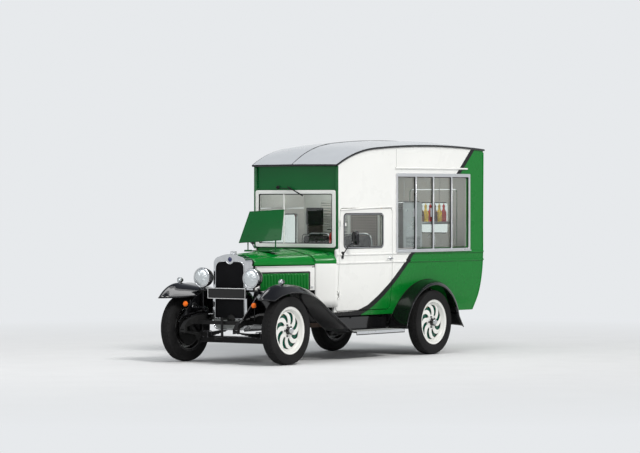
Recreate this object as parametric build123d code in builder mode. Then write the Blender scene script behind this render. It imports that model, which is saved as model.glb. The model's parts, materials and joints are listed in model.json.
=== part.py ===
from build123d import *
import math
import os

os.makedirs("parts", exist_ok=True)

# A 1930s light van rebuilt as an ice cream truck. Millimetres, +Z up; it faces -Y and its left side is +X.
# Lengths along Y are written from the front axle rearwards, and finish() moves each piece to the row origin.

# Running gear
wheelbase = 2845
track = 1412
tyre_radius = 381.5
tyre_width = 140
rim_radius = 263.5
rim_width = 120
rim_lip = 13
wheel_centre = track / 2
fit_clearance = 0.05
seat_gap = 0.3
moving_gap = 6

# Body
windscreen_y = 1140
front_half_width = 592
flare_deg = 2.2
side_length = 2874
wall = 30
belt_z = 1100
body_bottom_z = 496
tumblehome = 50
rear_tuck = 150
rear_tuck_z = 1069

# Windscreen: its frame stays a corner's width inside the body's front and stands above the scuttle
scuttle_top_z = 1262
screen_corner = 25
screen_frame_width = 2 * (front_half_width - screen_corner)
screen_frame_height = 653
screen_foot = 16.5
screen_middle_z = scuttle_top_z + screen_foot + screen_frame_height / 2
screen_width = screen_frame_width - 90
screen_height = screen_frame_height - 83

# Roof
roof_front_z = 2220
roof_thickness = 20
roof_crown = 54
eave_crown = 3
roof_crown_run = 420
roof_front_overhang = 27
roof_side_overhang = 8
roof_rear_overhang = 12
front_arc_radius = 1902
front_arc_start_deg = 26
front_arc_turn_deg = 21.6
top_arc_radius = 14840

# Chassis
rail_top_z = 540
rail_depth = 100
rail_width = 50
rail_x = 370
rail_metal = 6
floor_z = 600
floor_thickness = 25

sin_flare = math.sin(math.radians(flare_deg))
cos_flare = math.cos(math.radians(flare_deg))
side_along = Vector(sin_flare, cos_flare, 0)
side_out = Vector(cos_flare, -sin_flare, 0)
side_origin = (front_half_width, windscreen_y, 0)
side_face = Plane(origin=side_origin, x_dir=side_along, z_dir=side_out)
front_face = Plane(origin=(0, windscreen_y, 0), x_dir=(1, 0, 0), z_dir=(0, -1, 0))
body_rear_y = windscreen_y + side_length * cos_flare
dumb_iron_y = -478
fender_front_y = -480
rear_handle_out = 32
origin_y = (fender_front_y + body_rear_y + rear_handle_out) / 2
row_shift = Location((0, -origin_y, 0))


on_top = (Align.CENTER, Align.CENTER, Align.MIN)


def finish(piece, name):
    moved = piece.moved(row_shift)
    moved.label = name
    export_step(moved, f"parts/{name}.step")


def cross_plane(y):
    """The plane across the truck at y: local x is +X, local y is up."""
    return Plane(origin=(0, y, 0), x_dir=(1, 0, 0), z_dir=(0, -1, 0))


def long_plane(x):
    """The plane along the truck at x: local x is rearwards, local y is up."""
    return Plane(origin=(x, 0, 0), x_dir=(0, 1, 0), z_dir=(1, 0, 0))


def side_end(u):
    """The plane square to the left side at u along it: local x points out, local y is up."""
    return Plane(origin=Vector(*side_origin) + side_along * u, x_dir=side_out, z_dir=-side_along)


def half_width(y):
    """Half the body's outer width at y, above the belt."""
    return front_half_width + (y - windscreen_y) * sin_flare / cos_flare


def roof_edge_z(y):
    """Height of the roof's side edge at y: a tight arc at the front, then a long flat one."""
    u = (y - windscreen_y) / cos_flare
    start = math.radians(front_arc_start_deg)
    join = math.radians(front_arc_start_deg - front_arc_turn_deg)
    join_u = front_arc_radius * (math.sin(start) - math.sin(join))
    join_z = roof_front_z + front_arc_radius * (math.cos(join) - math.cos(start))
    if u < 0:
        return roof_front_z + u * math.tan(start)
    if u < join_u:
        angle = math.asin(math.sin(start) - u / front_arc_radius)
        return roof_front_z + front_arc_radius * (math.cos(angle) - math.cos(start))
    angle = math.asin(math.sin(join) - (u - join_u) / top_arc_radius)
    return join_z + top_arc_radius * (math.cos(angle) - math.cos(join))


def crown_at(y):
    """How far the roof's middle stands above its edges at y."""
    return eave_crown + roof_crown * (1 - math.exp(-max(0, y - windscreen_y) / roof_crown_run))


# Tyre and wheel, made at the left wheel's place on the axle line with the wheel's middle at x = 0.
def make_tyre():
    with BuildPart() as tyre:
        with BuildSketch(Plane.XY):
            with BuildLine():
                half = tyre_width / 2
                bead = rim_width / 2 - rim_lip - seat_gap
                bead_r = rim_radius - 21 + seat_gap
                tread_half = half - 16
                tread_edge = tyre_radius - 9
                widest = rim_radius + 42
                a = ThreePointArc((-bead - 8, rim_radius + 1), (-half, widest), (-tread_half, tread_edge))
                b = ThreePointArc(a @ 1, (0, tyre_radius), (tread_half, tread_edge))
                c = ThreePointArc(b @ 1, (half, widest), (bead + 8, rim_radius + 1))
                step_r = rim_radius - 11
                Polyline(c @ 1, (bead, step_r), (bead, bead_r), (-bead, bead_r), (-bead, step_r), a @ 0)
            make_face()
        revolve(axis=Axis.X)
    return tyre.part


slot_count = 8
disc_x = 28
disc_metal = 6
drum_x = 8
hub_radius = 40
hub_back_x = -34
cap_radius = 32
cap_x = 88
stub_radius = 17
stub_end_x = 60


def make_wheel():
    """Rim, dished disc with curved slots, the drum behind it and the hub cap, turned about X."""
    half = rim_width / 2
    with BuildPart() as wheel:
        # Rim with its flanges and drop centre
        with BuildSketch(Plane.XY):
            with BuildLine():
                Polyline(
                    (half, rim_radius), (half, rim_radius - 5), (half - 8, rim_radius - 14),
                    (half - 8, rim_radius - 27), (half - 18, rim_radius - 30), (18, rim_radius - 44),
                    (-18, rim_radius - 44),
                    (-half + 18, rim_radius - 30), (-half + 8, rim_radius - 27), (-half + 8, rim_radius - 14),
                    (-half, rim_radius - 5), (-half, rim_radius), (-half + 5, rim_radius),
                    (-half + 13, rim_radius - 12),
                    (-half + 13, rim_radius - 21), (-half + 20, rim_radius - 24), (-18, rim_radius - 38),
                    (18, rim_radius - 38), (half - 20, rim_radius - 24), (half - 13, rim_radius - 21),
                    (half - 13, rim_radius - 12), (half - 5, rim_radius), close=True,
                )
            make_face()
        revolve(axis=Axis.X)
        # Disc with its dish
        with BuildSketch(Plane.XY):
            with BuildLine():
                Polyline(
                    (disc_x, 0), (disc_x, 82), (disc_x - 4, 200), (disc_x - 14, rim_radius - 42.5),
                    (disc_x - 14 - disc_metal, rim_radius - 42.5), (disc_x - 4 - disc_metal, 200),
                    (disc_x - disc_metal, 82), (disc_x - disc_metal, 0), close=True,
                )
            make_face()
        revolve(axis=Axis.X)
        # Curved slots: narrow at the hub, swept along the edge to a point
        def at(r, deg):
            return (r * math.cos(math.radians(deg)), r * math.sin(math.radians(deg)))

        with BuildSketch(Plane.YZ.offset(-1)):
            with BuildLine():
                a = ThreePointArc(at(86, 0), at(150, 5), at(203, 24))
                b = ThreePointArc(a @ 1, at(203, 38), at(203, 52))
                c = ThreePointArc(b @ 1, at(158, 29), at(86, 16))
                Line(c @ 1, a @ 0)
            slot = make_face(mode=Mode.PRIVATE)
            with PolarLocations(0, slot_count):
                add(slot)
        extrude(amount=disc_x + 5, mode=Mode.SUBTRACT)
        # Drum behind the disc, hub and cap
        with BuildSketch(Plane.XY):
            with BuildLine():
                Polyline(
                    (disc_x - disc_metal, 0), (disc_x - disc_metal, 78), (drum_x, 84), (drum_x, 198),
                    (drum_x - 8, 207), (drum_x - 46, 207), (drum_x - 46, 199), (drum_x - 12, 199),
                    (drum_x - 12, 60), (hub_back_x, 60), (hub_back_x, 0), close=True,
                )
            make_face()
        revolve(axis=Axis.X)
        with BuildSketch(Plane.XY):
            with BuildLine():
                Polyline(
                    (0, 0), (0, hub_radius), (cap_x - 26, hub_radius), (cap_x - 26, cap_radius),
                    (cap_x - 6, cap_radius - 2), (cap_x, 14), (cap_x, 0), close=True,
                )
            make_face()
        revolve(axis=Axis.X)
        with BuildSketch(Plane.YZ.offset(hub_back_x)):
            Circle(stub_radius + fit_clearance)
        extrude(amount=stub_end_x + 2 - hub_back_x, mode=Mode.SUBTRACT)
    return wheel.part


tyre_solid = make_tyre()
wheel_solid = make_wheel()
turned = Rotation(0, 0, 180)
# name, which side, distance behind the front axle
wheel_table = (
    ("front_left", 1, 0), ("front_right", -1, 0), ("rear_left", 1, wheelbase), ("rear_right", -1, wheelbase),
)
for name, side, y in wheel_table:
    place = Location((side * wheel_centre, y, tyre_radius))
    facing = Location() if side > 0 else Location(turned)
    finish(tyre_solid.moved(place * facing), f"tyre_{name}")
    finish(wheel_solid.moved(place * facing), f"wheel_{name}")

# Front axle, knuckles and tie rod
kingpin_x = 622
kingpin_radius = 12
eye_radius = 28
eye_height = 70
lug_height = 24
beam_bottom_z = 225
beam_top_z = 290
beam_depth = 50
front_pad = 8
steering_arm = 150
tie_rod_z = 281
tie_pin = 7
pin_gap = 1

with BuildPart() as front_axle:
    with BuildSketch(cross_plane(-beam_depth / 2)):
        with BuildLine():
            Polyline(
                (-kingpin_x, tyre_radius + 32), (-kingpin_x + 42, tyre_radius + 30), (-480, beam_top_z),
                (480, beam_top_z), (kingpin_x - 42, tyre_radius + 30), (kingpin_x, tyre_radius + 32),
                (kingpin_x, tyre_radius - 32),
                (kingpin_x - 30, tyre_radius - 34), (500, beam_bottom_z), (-500, beam_bottom_z),
                (-kingpin_x + 30, tyre_radius - 34), (-kingpin_x, tyre_radius - 32), close=True,
            )
        make_face()
    extrude(amount=-beam_depth)
    # The I section's two channels
    for face_y, depth in ((-beam_depth / 2, -16), (beam_depth / 2, 16)):
        with BuildSketch(cross_plane(face_y)):
            with BuildLine():
                Polyline(
                    (-470, beam_top_z - 14), (470, beam_top_z - 14), (492, beam_bottom_z + 14),
                    (-492, beam_bottom_z + 14), close=True,
                )
            make_face()
        extrude(amount=depth, mode=Mode.SUBTRACT)
    for side in (-1, 1):
        with Locations((side * kingpin_x, 0, tyre_radius)):
            Cylinder(eye_radius, eye_height)
        with Locations((side * rail_x, 0, beam_top_z + front_pad / 2)):
            Box(70, 130, front_pad)
    with Locations((-kingpin_x, 0, tyre_radius), (kingpin_x, 0, tyre_radius)):
        Cylinder(kingpin_radius + fit_clearance, eye_height + 1, mode=Mode.SUBTRACT)
finish(front_axle.part, "front_axle")


def make_knuckle():
    """The left knuckle: a fork on the kingpin, the stub axle, its backplate and the steering arm."""
    lug_z = eye_height / 2 + pin_gap + lug_height / 2
    web_x = kingpin_x + eye_radius + 2
    with BuildPart() as knuckle:
        with Locations((kingpin_x, 0, tyre_radius)):
            Cylinder(kingpin_radius, 2 * lug_z)
        for up in (-1, 1):
            with Locations((kingpin_x, 0, tyre_radius + up * lug_z)):
                Cylinder(26, lug_height)
            with Locations((kingpin_x + 18, 0, tyre_radius + up * lug_z)):
                Box(36, 52, lug_height)
        with Locations((web_x + 4, 0, tyre_radius)):
            Box(8, 52, 2 * lug_z + lug_height)
        with Locations(Plane(origin=(web_x, 0, tyre_radius), z_dir=(1, 0, 0))):
            Cylinder(stub_radius, wheel_centre + stub_end_x - web_x, align=on_top)
            Cylinder(190, 4, align=on_top)
        with Locations((kingpin_x, steering_arm / 2, tyre_radius - lug_z)):
            Box(26, steering_arm + 10, 16)
        with Locations((kingpin_x, steering_arm, tyre_radius - lug_z)):
            Cylinder(16, 16)
        with Locations((kingpin_x, steering_arm, tyre_radius - lug_z - 8)):
            drop = tyre_radius - lug_z + 8 - tie_rod_z
            Cylinder(tie_pin, drop, align=(Align.CENTER, Align.CENTER, Align.MAX))
    return knuckle.part


knuckle_left = make_knuckle()
finish(knuckle_left, "knuckle_left")
finish(mirror(knuckle_left, about=Plane.YZ), "knuckle_right")

with BuildPart() as tie_rod:
    with Locations(Plane(origin=(-kingpin_x + 15, steering_arm, tie_rod_z), z_dir=(1, 0, 0))):
        Cylinder(11, 2 * kingpin_x - 30, align=on_top)
    with Locations((-kingpin_x, steering_arm, tie_rod_z), (kingpin_x, steering_arm, tie_rod_z)):
        Cylinder(18, 24)
    with Locations((-kingpin_x, steering_arm, tie_rod_z), (kingpin_x, steering_arm, tie_rod_z)):
        Cylinder(tie_pin + fit_clearance, 30, mode=Mode.SUBTRACT)
finish(tie_rod.part, "tie_rod")

# Rear axle with its differential, propeller shaft and hubs
axle_tube_radius = 38
gearbox_end_y = 1330
rear_spring_x = 470
spring_pad = 8
with BuildPart() as rear_axle:
    with BuildSketch(Plane.XY):
        with BuildLine():
            Polyline(
                (0, 0), (0, 140), (60, 132), (110, 90), (150, 52), (560, axle_tube_radius),
                (600, axle_tube_radius), (600, 190), (606, 190), (606, 30), (650, 30), (650, stub_radius),
                (wheel_centre + stub_end_x, stub_radius), (wheel_centre + stub_end_x, 0), close=True,
            )
        half_axle = make_face()
    revolve(axis=Axis.X)
    mirror(about=Plane.YZ)
rear_axle_solid = rear_axle.part.moved(Location((0, wheelbase, tyre_radius)))
with BuildPart() as shaft:
    with Locations(Plane(origin=(0, wheelbase - 100, tyre_radius + 6), z_dir=(0, -1, 0.03))):
        Cylinder(55, 90, align=on_top)
        Cylinder(30, wheelbase - 100 - gearbox_end_y, align=on_top)
pad_z = tyre_radius - axle_tube_radius - spring_pad + seat_gap
with BuildPart() as spring_pads:
    for side in (-1, 1):
        with Locations((side * rear_spring_x, wheelbase, pad_z)):
            Box(64, 60, 2 * spring_pad, align=on_top)
finish(rear_axle_solid + shaft.part + spring_pads.part, "rear_axle")

# Leaf springs: stacked arcs, longest on top
leaf_count = 6
leaf_metal = 7
leaf_width = 50
spring_eye = 17
rear_pack_z = tyre_radius - axle_tube_radius - spring_pad - leaf_count * leaf_metal
# name, x, middle y, half span, height of the pack's lowest face, rise of the eyes
spring_table = (
    ("front", rail_x, -30, 430, beam_top_z + front_pad, 30),
    ("rear", rear_spring_x, wheelbase, 540, rear_pack_z, 70),
)


def make_spring(x, middle_y, half_span, bottom_z, rise):
    top_z = bottom_z + leaf_count * leaf_metal
    radius = (half_span**2 + rise**2) / (2 * rise)
    centre = (middle_y, top_z + radius)
    with BuildPart() as spring:
        with BuildSketch(long_plane(x)):
            for leaf in range(leaf_count):
                reach = half_span * (1 - leaf / (leaf_count + 1))
                inner, outer = radius + leaf * leaf_metal, radius + (leaf + 1) * leaf_metal
                angle = math.degrees(math.asin(reach / radius))
                with BuildLine():
                    a = CenterArc(centre, inner, 270 - angle, 2 * angle)
                    b = CenterArc(centre, outer, 270 - angle, 2 * angle)
                    Line(a @ 0, b @ 0)
                    Line(a @ 1, b @ 1)
                make_face()
            with Locations((middle_y - half_span, top_z + rise), (middle_y + half_span, top_z + rise)):
                Circle(spring_eye)
        extrude(amount=leaf_width / 2, both=True)
    return spring.part


spring_eyes = {}
for end, x, middle_y, half_span, bottom_z, rise in spring_table:
    one = make_spring(x, middle_y, half_span, bottom_z, rise)
    eyes_z = bottom_z + leaf_count * leaf_metal + rise
    spring_eyes[end] = (x, middle_y - half_span, middle_y + half_span, eyes_z)
    finish(one, f"spring_{end}_left")
    finish(mirror(one, about=Plane.YZ), f"spring_{end}_right")

# Chassis frame: two channel rails with dumb irons and a kick-up, cross members and spring hangers
rail_rear_y = 3790
kick_up = 50
tail_drop = 20
rail_bottom_z = rail_top_z - rail_depth
kick_y0 = wheelbase - 495
kick_y1 = wheelbase - 285
kick_y2 = wheelbase + 305
kick_y3 = wheelbase + 515
tail_top_z = rail_top_z + kick_up - tail_drop


def make_rail():
    """The left rail, its channel open to the inside."""
    with BuildPart() as rail:
        with BuildSketch(long_plane(rail_x - rail_width / 2)):
            with BuildLine():
                Polyline(
                    (dumb_iron_y, 402), (dumb_iron_y + 10, 432), (-430, 470), (-357, 500), (-250, 530),
                    (-120, rail_top_z), (kick_y0, rail_top_z), (kick_y1, rail_top_z + kick_up),
                    (kick_y2, rail_top_z + kick_up), (kick_y3, tail_top_z), (rail_rear_y, tail_top_z),
                    (rail_rear_y, rail_bottom_z + kick_up),
                    (kick_y3, rail_bottom_z + kick_up - tail_drop / 2),
                    (kick_y2, rail_bottom_z + kick_up), (kick_y1, rail_bottom_z + kick_up),
                    (kick_y0, rail_bottom_z), (-60, rail_bottom_z), (-200, rail_bottom_z + 12), (-330, 436),
                    (-420, 412), (dumb_iron_y + 8, 392), close=True,
                )
            make_face()
        extrude(amount=rail_width)
        inner_low_z = rail_bottom_z + kick_up + rail_metal
        inner_top_z = rail_top_z - rail_metal
        with BuildSketch(long_plane(rail_x - rail_width / 2)):
            with BuildLine():
                Polyline(
                    (-100, inner_top_z), (kick_y0, inner_top_z), (kick_y1, inner_top_z + kick_up),
                    (kick_y2, inner_top_z + kick_up), (kick_y3, tail_top_z - rail_metal),
                    (rail_rear_y - 10, tail_top_z - rail_metal), (rail_rear_y - 10, inner_low_z),
                    (kick_y3, inner_low_z - tail_drop / 2), (kick_y2, inner_low_z), (kick_y1, inner_low_z),
                    (kick_y0, rail_bottom_z + rail_metal), (-60, rail_bottom_z + rail_metal), close=True,
                )
            make_face()
        extrude(amount=rail_width - rail_metal, mode=Mode.SUBTRACT)
    return rail.part


web_x = rail_x + rail_width / 2 - rail_metal
rear_eye_reach = rear_spring_x + leaf_width / 2
# y, half length, z of the top, height
cross_members = (
    (-200, web_x, 476, 40), (900, web_x, 520, 60), (1600, web_x, 520, 60),
    (spring_eyes["rear"][1], rear_eye_reach, 520, 60), (spring_eyes["rear"][2], rear_eye_reach, 560, 60),
    (rail_rear_y - 25, web_x, 560, 70),
)
# y, half length
bearer_table = ((1200, 505), (1700, 520), (wheelbase - 645, 540))
tow_eye_y = rail_rear_y + 85
tow_eye_z = 485
tow_eye_radius = 14
tow_plate = 14
hanger_length = 40
# spring, which eye, z that the hanger starts from
hanger_table = (("front", 1, 410), ("front", 2, rail_bottom_z + 4), ("rear", 1, 470), ("rear", 2, 510))
with BuildPart() as chassis_frame:
    rail = make_rail()
    add(rail)
    add(mirror(rail, about=Plane.YZ))
    for y, reach, top_z, height in cross_members:
        with Locations((0, y, top_z - height / 2)):
            Box(2 * reach, 50, height)
    # Body bearers on top of the rails
    for y, reach in bearer_table:
        with Locations((0, y, (rail_top_z + floor_z - seat_gap) / 2)):
            Box(2 * reach, 60, floor_z - seat_gap - rail_top_z)
    for side in (-1, 1):
        with Locations((side * rail_x, rail_rear_y - 290, tail_top_z)):
            Box(rail_width, 480, floor_z - seat_gap - tail_top_z, align=on_top)
        # Hangers that straddle the springs' eyes
        for end, which, top in hanger_table:
            x, y, eye_z = spring_eyes[end][0], spring_eyes[end][which], spring_eyes[end][3]
            bottom = eye_z - spring_eye - 4
            for off in (-1, 1):
                with Locations((side * x + off * (leaf_width / 2 + seat_gap + 5), y, bottom)):
                    Box(10, hanger_length, top - bottom, align=on_top)
            with Locations((side * x, y, eye_z + spring_eye + 3)):
                Box(leaf_width + 20 + 2 * seat_gap, hanger_length, top - eye_z - spring_eye - 3, align=on_top)
    # Towing eye under the rear cross member
    with Locations((0, tow_eye_y - 45, tow_eye_z)):
        Box(90, 140, tow_plate)
    with Locations((0, tow_eye_y, tow_eye_z)):
        Cylinder(tow_eye_radius, tow_plate + 6, mode=Mode.SUBTRACT)
finish(chassis_frame.part, "chassis_frame")

# Body volumes: the space inside the two flared side skins, at a given depth from the skin
body_top_z = 2700
far_side = 1500
side_front_u = -20
side_run = side_length - side_front_u


def side_skin(depth):
    """The side's section from the top down, moved in by depth: flat to the belt, then tucked under."""
    mid_z = belt_z * 0.45 + body_bottom_z * 0.55
    a = Line((-depth, body_top_z), (-depth, belt_z))
    return a, ThreePointArc(a @ 1, (-depth - tumblehome * 0.3, mid_z), (-depth - tumblehome, body_bottom_z))


def side_block(depth, thickness=None):
    """Everything inside the left skin, moved in by depth, or only a wall of the given thickness."""
    with BuildPart() as block:
        with BuildSketch(side_end(side_front_u)):
            with BuildLine():
                a, b = side_skin(depth)
                if thickness:
                    c, d = side_skin(depth + thickness)
                    Line(b @ 1, d @ 1)
                    Line(c @ 0, a @ 0)
                else:
                    Polyline(b @ 1, (-far_side, body_bottom_z), (-far_side, body_top_z), a @ 0)
            make_face()
        extrude(amount=-side_run)
    return block.part


def between_sides(depth):
    left = side_block(depth)
    return left & mirror(left, about=Plane.YZ)


# Roof: lofts whose lower and upper arcs follow the edge curve and the growing crown
roof_steps = (-roof_front_overhang, 70, 190, 330, 500, 720, 1060, 1460, 2160)
roof_stations = [windscreen_y + s for s in roof_steps] + [body_rear_y + roof_rear_overhang]


def roof_loft(open_above):
    """The roof's shell, or with open_above all the space over its underside."""
    with BuildPart() as block:
        for y in roof_stations:
            w = half_width(y) + roof_side_overhang
            edge = roof_edge_z(y)
            high = edge + roof_thickness
            with BuildSketch(cross_plane(y)):
                with BuildLine():
                    a = ThreePointArc((-w, edge), (0, edge + crown_at(y)), (w, edge))
                    if open_above:
                        b = Line((w, body_top_z + 60), (-w, body_top_z + 60))
                    else:
                        b = ThreePointArc((w, high), (0, high + crown_at(y)), (-w, high))
                    Line(a @ 1, b @ 0)
                    Line(b @ 1, a @ 0)
                make_face()
        loft(ruled=True)
    return block.part


finish(roof_loft(False), "roof")
roof_lower = roof_loft(True)
roof_cut = roof_lower.moved(Location((0, 0, -seat_gap)))

# Side outline and its cut-outs, drawn on the side face as u along the side and z
door_gap = 8
door_front_top = (45, 1712)
door_front_foot = (5, 548)
door_rear_u = 1040
door_top_z = 1728
door_foot_z = 548
door_corner = 45
window_front_u = 120
window_rear_u = 856
window_low_z = 1272
window_high_z = 1660
service_u0 = 1104
service_u1 = 2583
service_z0 = 1216
service_z1 = 2130
service_flange = 40


def door_outline(gap):
    with BuildSketch(side_face) as outline:
        with BuildLine():
            Polyline(
                (door_front_top[0] + gap, door_top_z - gap), (door_front_foot[0] + gap, door_foot_z + gap),
                (door_rear_u - gap, door_foot_z + gap), (door_rear_u - gap, door_top_z - gap), close=True,
            )
        make_face()
        fillet(outline.vertices().group_by(Axis.Z)[-1], door_corner)
    return outline.sketch


def rounded_window(u0, u1, z0, z1, radius, gap):
    with BuildSketch(side_face) as window:
        with Locations(((u0 + u1) / 2, (z0 + z1) / 2)):
            RectangleRounded(u1 - u0 + 2 * gap, z1 - z0 + 2 * gap, radius)
    return window.sketch


def through_side(sketch):
    """A sketch on the side face, made into a cutter through the wall."""
    with BuildPart() as cutter:
        extrude(sketch, amount=60)
        extrude(sketch, amount=-160)
    return cutter.part


side_rear_profile = ((side_length, body_top_z), (2858, rear_tuck_z), (2809, 731), (2711, body_bottom_z))
arch_relief_radius = tyre_radius + 30
arch_relief_x = wheel_centre - tyre_width / 2 - 22


def wall_solid():
    with BuildPart() as wall_part:
        add(side_block(0, wall))
        with BuildSketch(side_face):
            with BuildLine():
                Polyline(
                    (side_front_u, body_bottom_z), (side_front_u, scuttle_top_z - 22), (0, scuttle_top_z),
                    (0, body_top_z),
                    *side_rear_profile, close=True,
                )
            make_face()
        extrude(amount=200, both=True, mode=Mode.INTERSECT)
    return wall_part.part


wall_blank = wall_solid()
with BuildPart() as arch_relief:
    with Locations(Plane(origin=(arch_relief_x, wheelbase, tyre_radius), z_dir=(1, 0, 0))):
        Cylinder(arch_relief_radius, 200, align=on_top)
with BuildPart() as arch_open:
    with Locations(Plane(origin=(400, wheelbase, tyre_radius), z_dir=(1, 0, 0))):
        Cylinder(arch_relief_radius, 500, align=on_top)
    with Locations((650, wheelbase, floor_z)):
        Box(600, 1000, 400, align=on_top, mode=Mode.SUBTRACT)
door_hole = through_side(door_outline(0))
service_edges = (service_u0, service_u1, service_z0, service_z1)
service_hole = through_side(rounded_window(*service_edges, 20, -service_flange))
wall_left = wall_blank - roof_cut - arch_relief.part - arch_open.part - door_hole - service_hole
wall_right = mirror(wall_blank - roof_cut - arch_relief.part - arch_open.part - door_hole, about=Plane.YZ)

# Hinges: the door's barrel turns on a pin held by a knuckle above and below it
hinge_out = 14
hinge_radius = 9
hinge_pin = 4
barrel_length = 60
knuckle_length = 20
strap_length = 120
strap_height = 34
hinge_arm = 32
hinge_foot = (16, 742)
hinge_head = (43.5, 1541)


def side_point(u, z, out):
    return side_face.from_local_coords((u, z, out))


hinge_line = (side_point(*hinge_head, 0) - side_point(*hinge_foot, 0)).normalized()


def fixed_knuckles(at, along, radius, arm):
    """Pin and two knuckles on the axis; arm makes each knuckle's own bracket at a distance along it."""
    with BuildPart() as hinge:
        with Locations(Plane(origin=at, z_dir=along)):
            Cylinder(hinge_pin, barrel_length + 2 * knuckle_length)
        for up in (-1, 1):
            shift = up * (barrel_length + knuckle_length + 2 * seat_gap) / 2
            with Locations(Plane(origin=at + along * shift, z_dir=along)):
                Cylinder(radius, knuckle_length)
            add(arm(shift))
    return hinge.part


def side_skin_depth(z):
    """How far the side is tucked in at the lower hinge and at the upper one."""
    return tumblehome * 0.4 if z < belt_z else 0


def door_arm(u, z):
    def arm(shift):
        with BuildPart() as bracket:
            with BuildSketch(side_face.offset(-side_skin_depth(z) - 6)):
                with Locations((u - hinge_arm / 2, z + shift)):
                    Rectangle(hinge_arm, knuckle_length)
            extrude(amount=side_skin_depth(z) + 6 + hinge_out)
        return bracket.part

    return arm


side_hinges = None
for u, z in (hinge_foot, hinge_head):
    one = fixed_knuckles(side_point(u, z, hinge_out), hinge_line, hinge_radius, door_arm(u, z))
    side_hinges = one if side_hinges is None else side_hinges + one
finish(wall_left + side_hinges, "body_side_left")
finish(wall_right + mirror(side_hinges, about=Plane.YZ), "body_side_right")

# Doors: skin, window, hinge straps, handle and mirror
door_window = through_side(rounded_window(window_front_u, window_rear_u, window_low_z, window_high_z, 40, 0))
with BuildPart() as door:
    add(wall_blank)
    add(through_side(door_outline(door_gap)), mode=Mode.INTERSECT)
    add(door_window, mode=Mode.SUBTRACT)
with BuildPart() as door_fittings:
    # Straps that reach from the door to the hinge barrels on the axis
    for u, z in (hinge_foot, hinge_head):
        depth = side_skin_depth(z)
        with BuildSketch(side_face.offset(-depth - 4)):
            with Locations((u + 4.3 + strap_length / 2, z)):
                Rectangle(strap_length, strap_height)
        extrude(amount=hinge_out + depth + 8)
        with Locations(Plane(origin=side_point(u, z, hinge_out), z_dir=hinge_line)):
            Cylinder(hinge_radius, barrel_length)
            Cylinder(hinge_pin + fit_clearance, barrel_length + 1, mode=Mode.SUBTRACT)
    # Handle
    with BuildSketch(side_face.offset(-2)):
        with Locations((1000, 1140)):
            Circle(20)
    extrude(amount=30)
    with BuildSketch(side_face.offset(24)):
        with Locations((956, 1140)):
            SlotOverall(125, 18)
    extrude(amount=14)
    # Mirror: foot, arm and head
    with BuildSketch(side_face.offset(-2)):
        with Locations((85, 1190)):
            RectangleRounded(40, 90, 12)
    extrude(amount=16)
    arm_start = side_face.from_local_coords((85, 1200, 8))
    arm_end = side_face.from_local_coords((150, 1330, 120))
    with BuildLine():
        Line(arm_start, arm_end)
    with BuildSketch(Plane(origin=arm_start, z_dir=arm_end - arm_start)):
        Circle(7)
    sweep()
    with BuildSketch(side_end(165)):
        with Locations((125, 1385)):
            RectangleRounded(130, 175, 35)
    extrude(amount=30)
door_left = door.part + door_fittings.part
finish(door_left, "door_left")
finish(mirror(door_left, about=Plane.YZ), "door_right")

glass_inset = 12
glass_thickness = 5
with BuildPart() as door_glass:
    with BuildSketch(side_face.offset(-glass_inset)):
        with Locations(((window_front_u + window_rear_u) / 2, (window_low_z + window_high_z) / 2)):
            pane_width = window_rear_u - window_front_u - 2 * seat_gap
            pane_height = window_high_z - window_low_z - 2 * seat_gap
            RectangleRounded(pane_width, pane_height, 40)
    extrude(amount=-glass_thickness)
finish(door_glass.part, "door_glass_left")
finish(mirror(door_glass.part, about=Plane.YZ), "door_glass_right")

# Service window: frame with three mullions, proud of the side, and one glass behind it
service_mullions = (1483, 1832, 2202)
mullion_width = 34
frame_proud = 18
frame_bar = 40
service_mid = ((service_u0 + service_u1) / 2, (service_z0 + service_z1) / 2)
service_size = (service_u1 - service_u0, service_z1 - service_z0)


def service_rectangle(inset, radius, mode=Mode.ADD):
    RectangleRounded(service_size[0] - 2 * inset, service_size[1] - 2 * inset, radius, mode=mode)


service_inner = frame_bar + 12
with BuildPart() as service_frame:
    with BuildSketch(side_face.offset(seat_gap)):
        with Locations(service_mid):
            service_rectangle(0, 20)
            service_rectangle(service_inner, 8, Mode.SUBTRACT)
    extrude(amount=frame_proud)
    with BuildSketch(side_face.offset(seat_gap)):
        with Locations(service_mid):
            service_rectangle(service_flange + seat_gap, 20)
            service_rectangle(service_inner, 8, Mode.SUBTRACT)
    extrude(amount=-wall - seat_gap)
    for u in service_mullions:
        with BuildSketch(side_face.offset(-5)):
            with Locations((u, service_mid[1])):
                Rectangle(mullion_width, service_size[1] - 2 * frame_bar)
        extrude(amount=frame_proud)
finish(service_frame.part, "service_window_frame")
with BuildPart() as service_glass:
    with BuildSketch(side_face.offset(-5 - seat_gap)):
        with Locations(service_mid):
            service_rectangle(service_inner + seat_gap, 8)
    extrude(amount=-glass_thickness)
finish(service_glass.part, "service_window_glass")

# Front panel round the windscreen, and the rear panel with its door
cabin = between_sides(wall + seat_gap)
screen_half = screen_frame_width / 2 - 37
screen_z0 = screen_middle_z - screen_frame_height / 2 + 21.5
screen_z1 = screen_middle_z + screen_frame_height / 2 - 21.5
panel_half = front_half_width + 28
with BuildPart() as front_panel:
    with BuildSketch(front_face):
        with BuildLine():
            panel_low = Line((-panel_half, scuttle_top_z), (panel_half, scuttle_top_z))
            Polyline(panel_low @ 1, (panel_half, body_top_z), (-panel_half, body_top_z), panel_low @ 0)
        make_face()
        with Locations((0, (screen_z0 + screen_z1) / 2)):
            RectangleRounded(2 * screen_half, screen_z1 - screen_z0, 20, mode=Mode.SUBTRACT)
    extrude(amount=-wall)
    add(cabin, mode=Mode.INTERSECT)
    add(roof_cut, mode=Mode.SUBTRACT)
finish(front_panel.part, "front_panel")

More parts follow.
